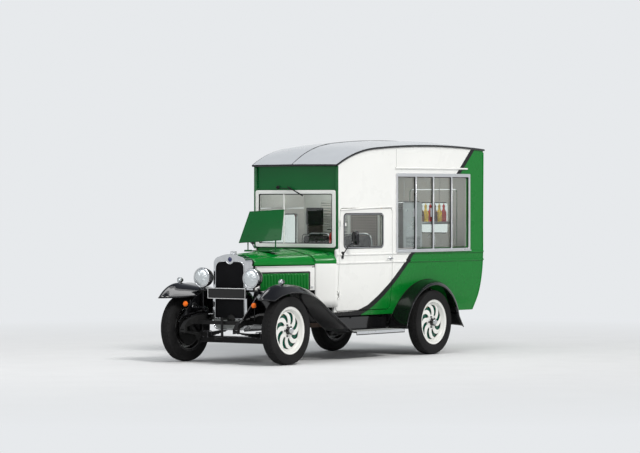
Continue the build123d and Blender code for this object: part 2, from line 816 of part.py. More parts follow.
with BuildPart() as screen_frame:
    with BuildSketch(front_face.offset(seat_gap)):
        with Locations((0, (screen_z0 + screen_z1) / 2)):
            RectangleRounded(screen_frame_width, screen_frame_height, 24)
            RectangleRounded(screen_width, screen_height, 16, mode=Mode.SUBTRACT)
    extrude(amount=14)
    with BuildSketch(front_face.offset(seat_gap)):
        with Locations((0, (screen_z0 + screen_z1) / 2)):
            RectangleRounded(2 * screen_half - 2 * seat_gap, screen_z1 - screen_z0 - 2 * seat_gap, 20)
            RectangleRounded(screen_width, screen_height, 16, mode=Mode.SUBTRACT)
    extrude(amount=-wall - seat_gap)
finish(screen_frame.part, "windscreen_frame")
with BuildPart() as screen_glass:
    with BuildSketch(front_face.offset(-8)):
        with Locations((0, (screen_z0 + screen_z1) / 2)):
            RectangleRounded(screen_width - 2 * seat_gap, screen_height - 2 * seat_gap, 16)
    extrude(amount=-glass_thickness)
finish(screen_glass.part, "windscreen_glass")

rear_tuck_points = (
    (body_rear_y, body_top_z), (body_rear_y - 16, rear_tuck_z), (body_rear_y - 65, 731),
    (body_rear_y - 163, body_bottom_z),
)
rear_door_half = 350
rear_door_z0 = 660
rear_door_z1 = 1950
rear_gap = 10


def rear_strip(depth):
    """The rear panel's side profile, extruded across."""
    with BuildPart() as strip:
        with BuildSketch(long_plane(-800)):
            with BuildLine():
                outer = [(y - seat_gap, z) for y, z in rear_tuck_points]
                Polyline(*outer, *[(y - depth, z) for y, z in reversed(outer)], close=True)
            make_face()
        extrude(amount=1600)
    return strip.part


rear_face = Plane(origin=(0, body_rear_y, 0), x_dir=(-1, 0, 0), z_dir=(0, 1, 0))
with BuildPart() as rear_opening:
    with BuildSketch(rear_face.offset(40)):
        with Locations((0, (rear_door_z0 + rear_door_z1) / 2)):
            RectangleRounded(2 * rear_door_half, rear_door_z1 - rear_door_z0, 40)
    extrude(amount=-300)
rear_hinge_out = 14
rear_hinge_heights = (860, 1750)
rear_hinge_x = -rear_door_half + 5


def rear_depth(z):
    return 60 if z < rear_tuck_z else 20


def rear_arm(z):
    def arm(shift):
        with BuildPart() as bracket:
            with Locations((rear_hinge_x - 24, body_rear_y - rear_depth(z) + 8, z + shift)):
                reach = rear_depth(z) - 8 + rear_hinge_out
                Box(48, reach, knuckle_length, align=(Align.CENTER, Align.MIN, Align.CENTER))
        return bracket.part

    return arm


rear_hinges = None
for z in rear_hinge_heights:
    pin_middle = Vector(rear_hinge_x, body_rear_y + rear_hinge_out, z)
    one = fixed_knuckles(pin_middle, Vector(0, 0, 1), hinge_radius, rear_arm(z))
    rear_hinges = one if rear_hinges is None else rear_hinges + one
finish((rear_strip(wall) & cabin) - roof_cut - rear_opening.part + rear_hinges, "rear_panel")

with BuildPart() as rear_door:
    with BuildSketch(rear_face.offset(40)):
        with Locations((0, (rear_door_z0 + rear_door_z1) / 2)):
            RectangleRounded(2 * (rear_door_half - rear_gap), rear_door_z1 - rear_door_z0 - 2 * rear_gap, 32)
        with Locations((0, 1600)):
            RectangleRounded(420, 380, 40, mode=Mode.SUBTRACT)
    extrude(amount=-300)
    add(rear_strip(wall), mode=Mode.INTERSECT)
    for z in rear_hinge_heights:
        with BuildSketch(rear_face.offset(-rear_depth(z))):
            with Locations((rear_door_half - rear_gap - 52, z)):
                Rectangle(104, strap_height)
        extrude(amount=rear_hinge_out + rear_depth(z))
        with Locations((rear_hinge_x, body_rear_y + rear_hinge_out, z)):
            Cylinder(hinge_radius, barrel_length)
            Cylinder(hinge_pin + fit_clearance, barrel_length + 1, mode=Mode.SUBTRACT)
    with BuildSketch(rear_face.offset(-25)):
        with Locations((-290, 1180)):
            Circle(16)
    extrude(amount=50)
    with BuildSketch(rear_face.offset(rear_handle_out - 12)):
        with Locations((-250, 1180)):
            SlotOverall(110, 18)
    extrude(amount=12)
finish(rear_door.part, "rear_door")

# Floor between the walls
with BuildPart() as floor:
    with Locations((0, 1175, floor_z)):
        Box(1500, body_rear_y - 1175 - 152, floor_thickness, align=(Align.CENTER, Align.MIN, Align.MIN))
    add(cabin, mode=Mode.INTERSECT)
finish(floor.part, "floor")

# Steering column's place
column_foot = (-330, 985, 690)
column_head = (-330, 1330, 1060)
column_dir = Vector(*column_head) - Vector(*column_foot)
column_radius = 14

# Bonnet and scuttle: lofts through a few like sections
shell_metal = 4
bonnet_front_y = 35 + seat_gap
bonnet_rear_y = 900
bonnet_front_half = 236
bonnet_rear_half = 450
# y, half width, height of the side's top edge, height of the middle
bonnet_side_z = 1098
bonnet_sections = (
    (bonnet_front_y, bonnet_front_half, bonnet_side_z, 1212),
    (bonnet_rear_y, bonnet_rear_half, bonnet_side_z, 1258),
)


def arched(y, w, side_z, middle_z, low_z, inset):
    """A section with flat sides, rounded shoulders and an arched top."""
    w, side_z, middle_z = w - inset, side_z, middle_z - inset
    with BuildSketch(cross_plane(y)) as section:
        with BuildLine():
            shoulder = (middle_z - side_z) * 0.62
            turn_z = side_z + shoulder * 0.72
            crest_z = side_z + shoulder
            a = ThreePointArc((-w, side_z), (-w * 0.93, turn_z), (-w * 0.72, crest_z))
            b = ThreePointArc(a @ 1, (0, middle_z), (w * 0.72, crest_z))
            c = ThreePointArc(b @ 1, (w * 0.93, turn_z), (w, side_z))
            Polyline(c @ 1, (w, low_z), (-w, low_z), a @ 0)
        make_face()
    return section.sketch


def arched_loft(sections, low_z, inset):
    with BuildPart() as block:
        for y, w, side_z, middle_z in sections:
            add(arched(y, w, side_z, middle_z, low_z, inset))
        loft()
    return block.part


bonnet_taper = bonnet_rear_half - bonnet_front_half
bonnet_length = bonnet_rear_y - bonnet_front_y
bonnet_side_along = Vector(bonnet_taper, bonnet_length, 0).normalized()
bonnet_side_out = Vector(bonnet_side_along.Y, -bonnet_side_along.X, 0)
bonnet_corner = (bonnet_front_half, bonnet_front_y, 0)
bonnet_side_face = Plane(origin=bonnet_corner, x_dir=bonnet_side_along, z_dir=bonnet_side_out)
bonnet_side_run = math.hypot(bonnet_taper, bonnet_length)
bonnet_skin_foot = 1085
bonnet_side_z1 = 1075
bonnet_side_z0 = 800
bonnet_hinge_z = 1073
bonnet_hinge_out = 4
bonnet_hinge_radius = 5
bonnet_pin = 2.5
bonnet_barrel = bonnet_side_run - 80
louvre_count = 24
louvre_pitch = 30
louvre_length = 170


def bonnet_hinge_at(shift):
    return bonnet_side_face.from_local_coords((bonnet_side_run / 2 + shift, bonnet_hinge_z, bonnet_hinge_out))


with BuildPart() as bonnet_hinge:
    with Locations(Plane(origin=bonnet_hinge_at(0), z_dir=bonnet_side_along)):
        Cylinder(bonnet_pin, bonnet_barrel + 40)
    for end in (-1, 1):
        shift = end * (bonnet_barrel / 2 + seat_gap + 10)
        tab_top_z = bonnet_skin_foot + 6
        with Locations(Plane(origin=bonnet_hinge_at(shift), z_dir=bonnet_side_along)):
            Cylinder(bonnet_hinge_radius, 20)
        with BuildSketch(bonnet_side_face.offset(-shell_metal)):
            with Locations((bonnet_side_run / 2 + shift, (bonnet_hinge_z + tab_top_z) / 2)):
                Rectangle(20, tab_top_z - bonnet_hinge_z)
        extrude(amount=shell_metal + bonnet_hinge_out)
with BuildPart() as bonnet_top:
    add(arched_loft(bonnet_sections, bonnet_skin_foot, 0))
    add(arched_loft(bonnet_sections, bonnet_skin_foot, shell_metal), mode=Mode.SUBTRACT)
    add(bonnet_hinge.part)
    add(mirror(bonnet_hinge.part, about=Plane.YZ))
finish(bonnet_top.part, "bonnet_top")
with BuildPart() as bonnet_side:
    with BuildSketch(bonnet_side_face):
        with Locations((bonnet_side_run / 2, (bonnet_side_z0 + bonnet_side_z1) / 2)):
            Rectangle(bonnet_side_run - 12, bonnet_side_z1 - bonnet_side_z0)
        # The top corners stay clear of the hinge's fixed knuckles
        for end in (-1, 1):
            with Locations((bonnet_side_run / 2 + end * bonnet_side_run / 2, bonnet_side_z1)):
                Rectangle(92, 30, mode=Mode.SUBTRACT)
        with Locations((bonnet_side_run / 2, 915)):
            with GridLocations(louvre_pitch, 10, louvre_count, 1):
                SlotOverall(louvre_length, 14, rotation=90, mode=Mode.SUBTRACT)
    extrude(amount=-shell_metal)
    with Locations(Plane(origin=bonnet_hinge_at(0), z_dir=bonnet_side_along)):
        Cylinder(bonnet_hinge_radius, bonnet_barrel)
    with BuildSketch(bonnet_side_face.offset(-shell_metal)):
        with Locations((bonnet_side_run / 2, bonnet_hinge_z - 6)):
            Rectangle(bonnet_barrel, 12)
    extrude(amount=shell_metal + 2)
    with Locations(Plane(origin=bonnet_hinge_at(0), z_dir=bonnet_side_along)):
        Cylinder(bonnet_pin + fit_clearance, bonnet_barrel + 1, mode=Mode.SUBTRACT)
finish(bonnet_side.part, "bonnet_side_left")
finish(mirror(bonnet_side.part, about=Plane.YZ), "bonnet_side_right")

scuttle_sections = (
    (bonnet_rear_y + seat_gap, bonnet_rear_half, bonnet_side_z, 1258),
    (windscreen_y + side_front_u - seat_gap, front_half_width - 1, 1135, 1261),
    (windscreen_y - seat_gap, front_half_width - seat_gap, 1140, scuttle_top_z),
)
with BuildPart() as scuttle:
    add(arched_loft(scuttle_sections, 600, 0))
    add(arched_loft(scuttle_sections, 600, 20), mode=Mode.SUBTRACT)
    # The body sides start a little ahead of the windscreen below the belt
    for side in (-1, 1):
        with Locations((side * 600, windscreen_y + side_front_u - seat_gap, 580)):
            Box(90, 40, 661, align=(Align.CENTER, Align.MIN, Align.MIN), mode=Mode.SUBTRACT)
    # Firewall at the bonnet's end
    extrude(arched(*scuttle_sections[0], 600, 0), amount=-6)
    # Dashboard across the cabin
    with Locations((0, windscreen_y - 60, 1130)):
        Box(1040, 30, 180)
    with Locations((0, (bonnet_rear_y + windscreen_y) / 2, 596)):
        Box(890, windscreen_y - bonnet_rear_y - 2 * seat_gap, 20)
    # Block that carries the steering column
    with Locations((column_foot[0], column_foot[1] + 6, 596)):
        Box(48, 76, 130, align=on_top)
    with Locations(Plane(origin=column_foot, z_dir=column_dir)):
        Cylinder(column_radius + fit_clearance, 500, mode=Mode.SUBTRACT)
finish(scuttle.part, "scuttle")

# Radiator: shell with its opening, core and cap
radiator_front_y = -95
radiator_depth = 130
radiator_recess = 16
mesh_low_z = 500
mesh_top_z = 1135
mesh_half = 198
with BuildPart() as radiator:
    with BuildSketch(cross_plane(radiator_front_y)):
        with BuildLine():
            a = ThreePointArc((-227, 1125), (-196, 1172), (-150, 1190))
            b = ThreePointArc(a @ 1, (0, 1218), (150, 1190))
            c = ThreePointArc(b @ 1, (196, 1172), (227, 1125))
            d = Line(c @ 1, (241, 480))
            e = ThreePointArc(d @ 1, (225, 410), (153, 372))
            f = Line(e @ 1, (-153, 372))
            g = ThreePointArc(f @ 1, (-225, 410), (-241, 480))
            Line(g @ 1, a @ 0)
        make_face()
    extrude(amount=-radiator_depth)
    with BuildSketch(cross_plane(radiator_front_y)):
        with BuildLine():
            a = Line((-mesh_half - 10, mesh_low_z), (-mesh_half, mesh_top_z - 55))
            b = ThreePointArc(a @ 1, (-mesh_half + 22, mesh_top_z - 16), (-mesh_half + 60, mesh_top_z))
            c = Line(b @ 1, (-55, mesh_top_z + 4))
            d = ThreePointArc(c @ 1, (0, mesh_top_z - 27), (55, mesh_top_z + 4))
            e = Line(d @ 1, (mesh_half - 60, mesh_top_z))
            f = ThreePointArc(e @ 1, (mesh_half - 22, mesh_top_z - 16), (mesh_half, mesh_top_z - 55))
            g = Line(f @ 1, (mesh_half + 10, mesh_low_z))
            Line(g @ 1, a @ 0)
        make_face()
    extrude(amount=-radiator_recess, mode=Mode.SUBTRACT)
    with Locations((0, -30, 1200)):
        Cylinder(34, 50, align=on_top)
    # Bar that sits between the frame's rails
    with Locations((0, -30, rail_top_z - 40)):
        Box(2 * (rail_x - rail_width / 2 - seat_gap), 60, 40, align=on_top)
finish(radiator.part, "radiator")
with BuildPart() as engine:
    with Locations((0, 130, 520)):
        Box(300, 640, 540, align=(Align.CENTER, Align.MIN, Align.MIN))
    with Locations((0, 300, rail_top_z - 30)):
        Box(2 * (rail_x - rail_width / 2 - seat_gap), 80, 30, align=on_top)
finish(engine.part, "engine_block")

# Fenders: faces along the truck, lofted outwards. The front ones come to a rounded nose ahead of the tyre.
# x of the section, then six points: three for each arc and the tail's end. Each point is y from the axle, z
front_fender_sections = (
    (430, ((-165, 752), (-95, 803), (0, 835), (330, 790), (640, 640), (1120, 340))),
    (550, ((-300, 735), (-205, 815), (-25, 862), (350, 815), (668, 642), (1160, 332))),
    (640, ((-400, 730), (-290, 823), (-45, 880), (358, 828), (690, 645), (1185, 327))),
    (700, ((fender_front_y, 730), (-375, 822), (-60, 885), (360, 834), (700, 645), (1200, 327))),
    (755, ((-415, 727), (-320, 803), (-55, 868), (350, 812), (690, 630), (1185, 327))),
    (805, ((-340, 722), (-215, 770), (-30, 800), (320, 768), (660, 600), (1150, 325))),
)
rear_fender_sections = (
    (600, ((-655, 327), (-515, 625), (-15, 880), (375, 760), (530, 460), (595, 330))),
    (750, ((-655, 327), (-515, 620), (-15, 876), (370, 755), (525, 460), (585, 325))),
    (825, ((-660, 327), (-495, 640), (-55, 826), (265, 715), (445, 440), (545, 310))),
)


def fender_face(x, points, middle, metal):
    """Side view of the fender's metal at x, its inside moved towards the wheel's middle."""
    def inward(point):
        dy, dz = middle[0] - point[0], middle[1] - point[1]
        size = math.hypot(dy, dz)
        return (point[0] + dy / size * metal, point[1] + dz / size * metal)

    inner = [inward(point) for point in points]
    with BuildSketch(long_plane(x)) as face:
        with BuildLine():
            ThreePointArc(*points[0:3])
            ThreePointArc(*points[2:5])
            Polyline(points[4], points[5], inner[5], inner[4])
            ThreePointArc(inner[4], inner[3], inner[2])
            ThreePointArc(inner[2], inner[1], inner[0])
            Line(inner[0], points[0])
        make_face()
    return face.sketch


def make_fender(sections, axle_y, middle, metal):
    with BuildPart() as fender:
        for x, points in sections:
            moved = [(axle_y + y, z) for y, z in points]
            add(fender_face(x, moved, (axle_y + middle[0], middle[1]), metal))
        loft(ruled=True)
    return fender.part


fender_metal = 5
front_fender = make_fender(front_fender_sections, 0, (150, 250), fender_metal)
with BuildPart() as valance:
    with BuildSketch(long_plane(420)):
        with BuildLine():
            pts = front_fender_sections[0][1]
            ThreePointArc(*pts[0:3])
            ThreePointArc(*pts[2:5])
            Polyline(
                pts[4], (720, 590), (500, rail_top_z + seat_gap), (-110, rail_top_z + seat_gap), (-420, 490),
                (-470, 470), pts[0],
            )
        make_face()
    extrude(amount=12)
with BuildPart() as foot:
    with Locations((rail_x + 12, 195, rail_top_z + seat_gap)):
        Box(432 - rail_x - 12, 590, 6, align=(Align.MIN, Align.CENTER, Align.MIN))
side_lamp_x = 712
side_lamp_y = -75
side_lamp_z = 918
side_lamp_radius = 30
with BuildPart() as side_lamp:
    with Locations((side_lamp_x, side_lamp_y, 872)):
        Cylinder(14, side_lamp_z - 890, align=on_top)
    with Locations(Plane(origin=(side_lamp_x, side_lamp_y - 30, side_lamp_z), z_dir=(0, 1, 0))):
        Cylinder(side_lamp_radius, 60, align=on_top)
front_fender_left = front_fender + valance.part + foot.part + side_lamp.part
finish(front_fender_left, "front_fender_left")
finish(mirror(front_fender_left, about=Plane.YZ), "front_fender_right")
rear_fender = make_fender(rear_fender_sections, wheelbase, (0, 300), fender_metal) - side_block(-seat_gap)
finish(rear_fender, "rear_fender_left")
finish(mirror(rear_fender, about=Plane.YZ), "rear_fender_right")

# Running boards with the valance up to the body
rail_side = rail_x + rail_width / 2 + seat_gap
board_y0 = front_fender_sections[3][1][5][0] + 15
board_y1 = wheelbase + rear_fender_sections[0][1][0][0] - 10
board_top_z = 325
with BuildPart() as running_board:
    with BuildSketch(cross_plane(board_y0)):
        with BuildLine():
            Polyline(
                (540, 480), (546, 480), (546, board_top_z), (800, board_top_z), (806, board_top_z - 8),
                (806, board_top_z - 40), (798, board_top_z - 40), (798, board_top_z - 14),
                (540, board_top_z - 14), close=True,
            )
        make_face()
    extrude(amount=-(board_y1 - board_y0))
    for y in (board_y0 + 235, board_y1 - 130):
        with Locations((rail_side, y, 470)):
            Box(546 - rail_side, 40, 20, align=(Align.MIN, Align.CENTER, Align.CENTER))
finish(running_board.part, "running_board_left")
finish(mirror(running_board.part, about=Plane.YZ), "running_board_right")

# Head lamps on their bar, with the front plate and the indicators
lamp_x = 345
lamp_z = 954
lamp_y = -171
bar_z = 812
bar_y = radiator_front_y - seat_gap - 12
plate_width = 528
plate_height = 120
horn_mouth = (-367, -270, 650)
horn_dir = Vector(7, 270, -75).normalized()
horn_up = Vector(0, 75, 270).normalized()
horn_plane = Plane(origin=horn_mouth, x_dir=horn_up, z_dir=horn_up.cross(horn_dir))
with BuildPart() as headlamps:
    for side in (-1, 1):
        with BuildSketch(long_plane(side * lamp_x)):
            with BuildLine():
                rim = Polyline((lamp_y, lamp_z), (lamp_y, lamp_z + 108), (lamp_y + 18, lamp_z + 112))
                bowl = ThreePointArc(rim @ 1, (lamp_y + 110, lamp_z + 84), (lamp_y + 165, lamp_z))
                Line(bowl @ 1, (lamp_y, lamp_z))
            make_face()
        revolve(axis=Axis((side * lamp_x, 0, lamp_z), (0, 1, 0)))
        with Locations((side * lamp_x, bar_y, bar_z)):
            Cylinder(11, lamp_z - bar_z - 60, align=on_top)
    with Locations(Plane(origin=(-420 + seat_gap, bar_y, bar_z), z_dir=(1, 0, 0))):
        Cylinder(12, 840 - 2 * seat_gap, align=on_top)
    # Horn hung from the bar on the right side
    with BuildSketch(horn_plane):
        with BuildLine():
            Polyline(
                (0, 0), (33, 0), (26, 12), (15, 40), (12, 110), (14, 150), (30, 168), (30, 225), (20, 236),
                (0, 236), close=True,
            )
        make_face()
    revolve(axis=Axis(horn_mouth, horn_dir))
    with Locations((horn_mouth[0], bar_y, horn_mouth[2] - 44)):
        Cylinder(7, bar_z - horn_mouth[2] + 44, align=on_top)
finish(headlamps.part, "headlamps")

# Indicators on stay rods that stand on the frame's rails
stay_x = 450
stay_y = -235
stay_foot_z = 490
stay_top_z = 700
indicator_x = 479
indicator_y = -268
indicator_z = 660
with BuildPart() as indicator:
    with Locations((rail_side, stay_y, stay_foot_z)):
        Box(stay_x + 10 - rail_side, 20, 10, align=(Align.MIN, Align.CENTER, Align.MIN))
    with Locations((stay_x, stay_y, stay_foot_z + 5)):
        Cylinder(6, stay_top_z - stay_foot_z - 5, align=on_top)
    with Locations(((stay_x + indicator_x) / 2, (stay_y + indicator_y) / 2, indicator_z)):
        Box(indicator_x - stay_x + 8, stay_y - indicator_y + 6, 8)
    with BuildSketch(Plane(origin=(indicator_x, indicator_y, indicator_z), x_dir=(1, 0, 0), z_dir=(0, 0, 1))):
        with BuildLine():
            Polyline((0, -38), (0, 0), (22, 0), (30, -8), (30, -24), (24, -34), (12, -38), (0, -38))
        make_face()
    revolve(axis=Axis((indicator_x, indicator_y, indicator_z), (0, 1, 0)))
finish(indicator.part, "indicator_left")
finish(mirror(indicator.part, about=Plane.YZ), "indicator_right")

# Rear lamps and plate on a bar across the ends of the rails
rear_bar_y = rail_rear_y + seat_gap
rear_bar_z = 515
rear_lamp_x = 430
rear_lamp_z = 442
rear_lamp_radius = 38
rear_plate_z = 395
with BuildPart() as rear_lamps:
    with Locations((0, rear_bar_y, rear_bar_z)):
        Box(2 * rear_lamp_x + 30, 10, 34, align=(Align.CENTER, Align.MIN, Align.CENTER))
    for side in (-1, 1):
        with Locations((side * rear_lamp_x, rear_bar_y, (rear_lamp_z + rear_bar_z) / 2)):
            Box(30, 10, rear_bar_z - rear_lamp_z, align=(Align.CENTER, Align.MIN, Align.CENTER))
        with Locations(Plane(origin=(side * rear_lamp_x, rear_bar_y, rear_lamp_z), z_dir=(0, 1, 0))):
            Cylinder(rear_lamp_radius, 34, align=on_top)
            Cylinder(rear_lamp_radius - 6, 44, align=on_top)
        with Locations((side * 180, rear_bar_y, (rear_plate_z + rear_bar_z) / 2)):
            Box(30, 10, rear_bar_z - rear_plate_z, align=(Align.CENTER, Align.MIN, Align.CENTER))
    with Locations((0, rear_bar_y + 8, rear_plate_z)):
        Box(plate_width, 6, plate_height, align=(Align.CENTER, Align.MIN, Align.CENTER))
finish(rear_lamps.part, "rear_lamps")

with BuildPart() as plate:
    with Locations((0, -155, 781)):
        Box(plate_width, 6, plate_height)
    with Locations((0, -155, bar_z)):
        Box(60, 155 + bar_y - 12 - seat_gap, 20, align=(Align.CENTER, Align.MIN, Align.CENTER))
finish(plate.part, "number_plate")

# Bonnet sign
with BuildPart() as sign:
    with BuildSketch(Plane(origin=(0, 480, 1330), x_dir=(1, 0, 0), z_dir=(0, -370, 120))):
        with BuildLine():
            Polyline((-308, 0), (278, 38), (240, 400), (-240, 375), close=True)
        make_face()
    extrude(amount=14)
    for x in (-195, 195):
        with Locations((x, 500, 1280)):
            Box(24, 24, 150, align=on_top)
    with Locations((0, 500, 1200)):
        Box(430, 110, 85, align=on_top)
    add(arched_loft(bonnet_sections, 1000, 0).moved(Location((0, 0, seat_gap))), mode=Mode.SUBTRACT)
finish(sign.part, "bonnet_sign")

# Starting handle, reaching back to the radiator's apron
handle_x = 10
handle_z = 500
handle_y = -250
handle_throw = 210
with BuildPart() as handle:
    with Locations(Plane(origin=(handle_x, handle_y, handle_z), z_dir=(0, 1, 0))):
        Cylinder(11, -95 - seat_gap - handle_y, align=on_top)
        Cylinder(18, 16)
    with Locations((handle_x, handle_y, handle_z - handle_throw / 2)):
        Box(26, 16, handle_throw)
    with Locations(Plane(origin=(handle_x, handle_y + 8, handle_z - handle_throw), z_dir=(0, -1, 0))):
        Cylinder(14, 130, align=on_top)
finish(handle.part, "starting_handle")

# Steering wheel and column
with BuildPart() as steering:
    with Locations(Plane(origin=column_head, z_dir=column_dir)):
        Torus(205, 12)
        Cylinder(34, 30)
        with PolarLocations(0, 4):
            with Locations((105, 0, 0)):
                Box(210, 18, 8)
    with Locations(Plane(origin=column_foot, z_dir=column_dir)):
        Cylinder(column_radius, column_dir.length, align=on_top)
finish(steering.part, "steering_wheel")

# Cabin fittings
with BuildPart() as seats:
    for x in (-290, 290):
        with Locations((x, 1560, floor_z + floor_thickness)):
            Box(400, 440, 330, align=(Align.CENTER, Align.MIN, Align.MIN))
        with Locations((x, 1890, floor_z + floor_thickness)):
            Box(400, 110, 800, align=(Align.CENTER, Align.MIN, Align.MIN))
    with Locations((0, 1700, floor_z + floor_thickness)):
        Box(300, 100, 60, align=(Align.CENTER, Align.MIN, Align.MIN))
finish(seats.part, "seats")
with BuildPart() as fittings:
    with Locations((0, 2050, floor_z + floor_thickness)):
        Box(1080, 20, 1500, align=(Align.CENTER, Align.MIN, Align.MIN))
    with Locations((395, 2070, floor_z + floor_thickness)):
        Box(300, 1500, 560, align=(Align.CENTER, Align.MIN, Align.MIN))
    with Locations((420, 2500, 1185)):
        Box(280, 420, 620, align=(Align.CENTER, Align.MIN, Align.MIN))
finish(fittings.part, "serving_counter")
with BuildPart() as freezer:
    with Locations((-330, 2400, floor_z + floor_thickness)):
        Box(460, 1300, 600, align=(Align.CENTER, Align.MIN, Align.MIN))
finish(freezer.part, "freezer")
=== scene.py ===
import json
import math
import bmesh
import bpy
from mathutils import Matrix, Vector

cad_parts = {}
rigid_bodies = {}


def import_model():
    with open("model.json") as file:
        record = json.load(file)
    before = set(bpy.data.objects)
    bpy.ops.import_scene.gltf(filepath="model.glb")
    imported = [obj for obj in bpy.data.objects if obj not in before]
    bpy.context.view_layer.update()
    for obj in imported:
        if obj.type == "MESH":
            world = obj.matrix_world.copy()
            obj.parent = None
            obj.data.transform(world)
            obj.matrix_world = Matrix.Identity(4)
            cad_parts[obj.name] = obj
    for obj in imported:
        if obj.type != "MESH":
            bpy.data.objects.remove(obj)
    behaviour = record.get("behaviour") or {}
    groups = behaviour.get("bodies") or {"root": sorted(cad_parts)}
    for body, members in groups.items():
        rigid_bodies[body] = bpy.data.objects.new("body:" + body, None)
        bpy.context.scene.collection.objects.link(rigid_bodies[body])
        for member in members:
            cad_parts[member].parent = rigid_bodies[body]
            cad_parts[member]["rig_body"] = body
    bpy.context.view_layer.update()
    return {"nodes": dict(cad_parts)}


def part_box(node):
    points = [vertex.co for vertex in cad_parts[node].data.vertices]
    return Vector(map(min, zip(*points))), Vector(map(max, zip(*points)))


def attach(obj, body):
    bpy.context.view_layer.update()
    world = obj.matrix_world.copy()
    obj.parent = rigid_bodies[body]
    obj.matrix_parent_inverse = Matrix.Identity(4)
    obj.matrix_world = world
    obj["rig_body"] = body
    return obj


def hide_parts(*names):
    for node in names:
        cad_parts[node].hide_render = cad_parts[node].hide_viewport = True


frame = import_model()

NODES = frame["nodes"]
SCENE = bpy.context.scene
MM = 0.001
METRE = 1000


def middle(node):
    """The middle of a CAD node's box, in millimetres."""
    lo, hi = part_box(node)
    return (Vector(lo) + Vector(hi)) / 2 / MM


# The truck's own measures, in millimetres: y runs back from the front axle, and at() moves it to the frame
AXLE_Y = middle("tyre_front_left").y
WHEELBASE = middle("tyre_rear_left").y - AXLE_Y
WHEEL_X = middle("tyre_front_left").x
TYRE_R = middle("tyre_front_left").z
SCREEN_Y = 1140
FRONT_HALF = 592
FLARE = math.radians(2.2)
SIDE_LENGTH = 2874
REAR_Y = SCREEN_Y + SIDE_LENGTH * math.cos(FLARE)
BELT_Z = 1100
BELTS = (("upper", 1197), ("lower", 1101))
WALL = 30
TUCK = 0.0001385
UP = (0, 0, 1)
BACKWARD = (0, 1, 0)
FORWARD = (0, -1, 0)
HANDS = (("left", 1), ("right", -1))
AXLES = (("front", 0), ("rear", WHEELBASE))


def at(x, y, z):
    """A point from truck measures."""
    return Vector((x, y + AXLE_Y, z))


def spot(p):
    """Truck measures as a tuple become a point; a point stays as it is."""
    return at(*p) if isinstance(p, tuple) else p


def side(u, z, out=0, hand=1):
    """A point on the body's side: u back from the windscreen corner, out from the skin above the belt."""
    x = FRONT_HALF + u * math.sin(FLARE) + out * math.cos(FLARE)
    return at(hand * x, SCREEN_Y + u * math.cos(FLARE) - out * math.sin(FLARE), z)


def skin(hand):
    """The side as a place for outlines."""
    return lambda u, z, out=0: side(u, z, out, hand)


def facing(y, way=-1):
    """An upright plane across the truck as a place for outlines; way is where out leads along y."""
    return lambda x, z, out=0: at(x, y + way * out, z)


def tuck(z):
    """How far the side's skin is tucked in below the belt."""
    t = max(0, BELT_Z - z)
    return TUCK * t * t - 0.00086 * t


def skin_x(y, z):
    """Half width of the body's skin at y and z."""
    return FRONT_HALF + (y - SCREEN_Y) * math.tan(FLARE) - tuck(z)


def mixed(a, b, t):
    return a + (b - a) * t


# Meshes
def piece(name, shape, mat, body="chassis", slot=None, edge=None, replaces=(), sharp=35):
    """An object from a shape, which is verts and faces, or from a list of shapes; edge is a bevel."""
    verts, faces = merged(shape) if isinstance(shape, list) else shape
    me = bpy.data.meshes.new(name)
    me.from_pydata([tuple(v * MM) for v in verts], [], faces)
    me.validate()
    obj = wrap(name, me, mat, body, slot, sharp, replaces)
    return bevelled(obj, *edge) if edge else obj


def wrap(name, me, mat, body="chassis", slot=None, sharp=35, replaces=()):
    """An object from a mesh in metres, riding on its body."""
    bm = bmesh.new()
    bm.from_mesh(me)
    bmesh.ops.recalc_face_normals(bm, faces=bm.faces)
    bm.to_mesh(me)
    bm.free()
    me.shade_smooth()
    me.set_sharp_from_angle(angle=math.radians(sharp))
    me.materials.clear()
    me.materials.append(mat)
    obj = bpy.data.objects.new(name, me)
    SCENE.collection.objects.link(obj)
    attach(obj, body)
    if replaces:
        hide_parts(*replaces)
    return obj


def bevelled(obj, width, segments=2):
    mod = obj.modifiers.new("edge", "BEVEL")
    mod.width = width * MM
    mod.segments = segments
    mod.limit_method = "ANGLE"
    mod.angle_limit = math.radians(40)
    mod.use_clamp_overlap = True
    return obj


def evaluated(obj):
    """The mesh that an object's modifiers or curve give."""
    bpy.context.view_layer.update()
    return bpy.data.meshes.new_from_object(obj.evaluated_get(bpy.context.evaluated_depsgraph_get()))


def merged(shapes):
    verts, faces = [], []
    for v, f in shapes:
        start = len(verts)
        verts += v
        faces += [tuple(i + start for i in face) for face in f]
    return verts, faces


def grid_faces(rows, cols, round_rows=False, round_cols=False):
    """Quads between neighbours in a grid of points, which may close on itself either way."""
    faces = []
    for i in range(rows if round_rows else rows - 1):
        for j in range(cols if round_cols else cols - 1):
            a, b = i * cols, (i + 1) % rows * cols
            k = (j + 1) % cols
            faces.append((a + j, a + k, b + k, b + j))
    return faces


def loft(rings, closed=True, caps=True):
    """Skin over rings of equal point counts."""
    n = len(rings[0])
    faces = grid_faces(len(rings), n, False, closed)
    if caps and closed:
        faces.append(tuple(range(n - 1, -1, -1)))
        faces.append(tuple(range((len(rings) - 1) * n, len(rings) * n)))
    return [p for ring in rings for p in ring], faces


def hoop(rings):
    """Skin over rings that close on themselves, as a tyre does."""
    return [p for ring in rings for p in ring], grid_faces(len(rings), len(rings[0]), True, True)


def axes(direction):
    """The direction and two others square to it."""
    d = Vector(direction).normalized()
    a = d.cross(Vector(UP))
    if a.length < 1e-4:
        a = d.cross(Vector((1, 0, 0)))
    a.normalize()
    return d, a, a.cross(d).normalized()


def turns(n):
    return [2 * math.pi * i / n for i in range(n)]


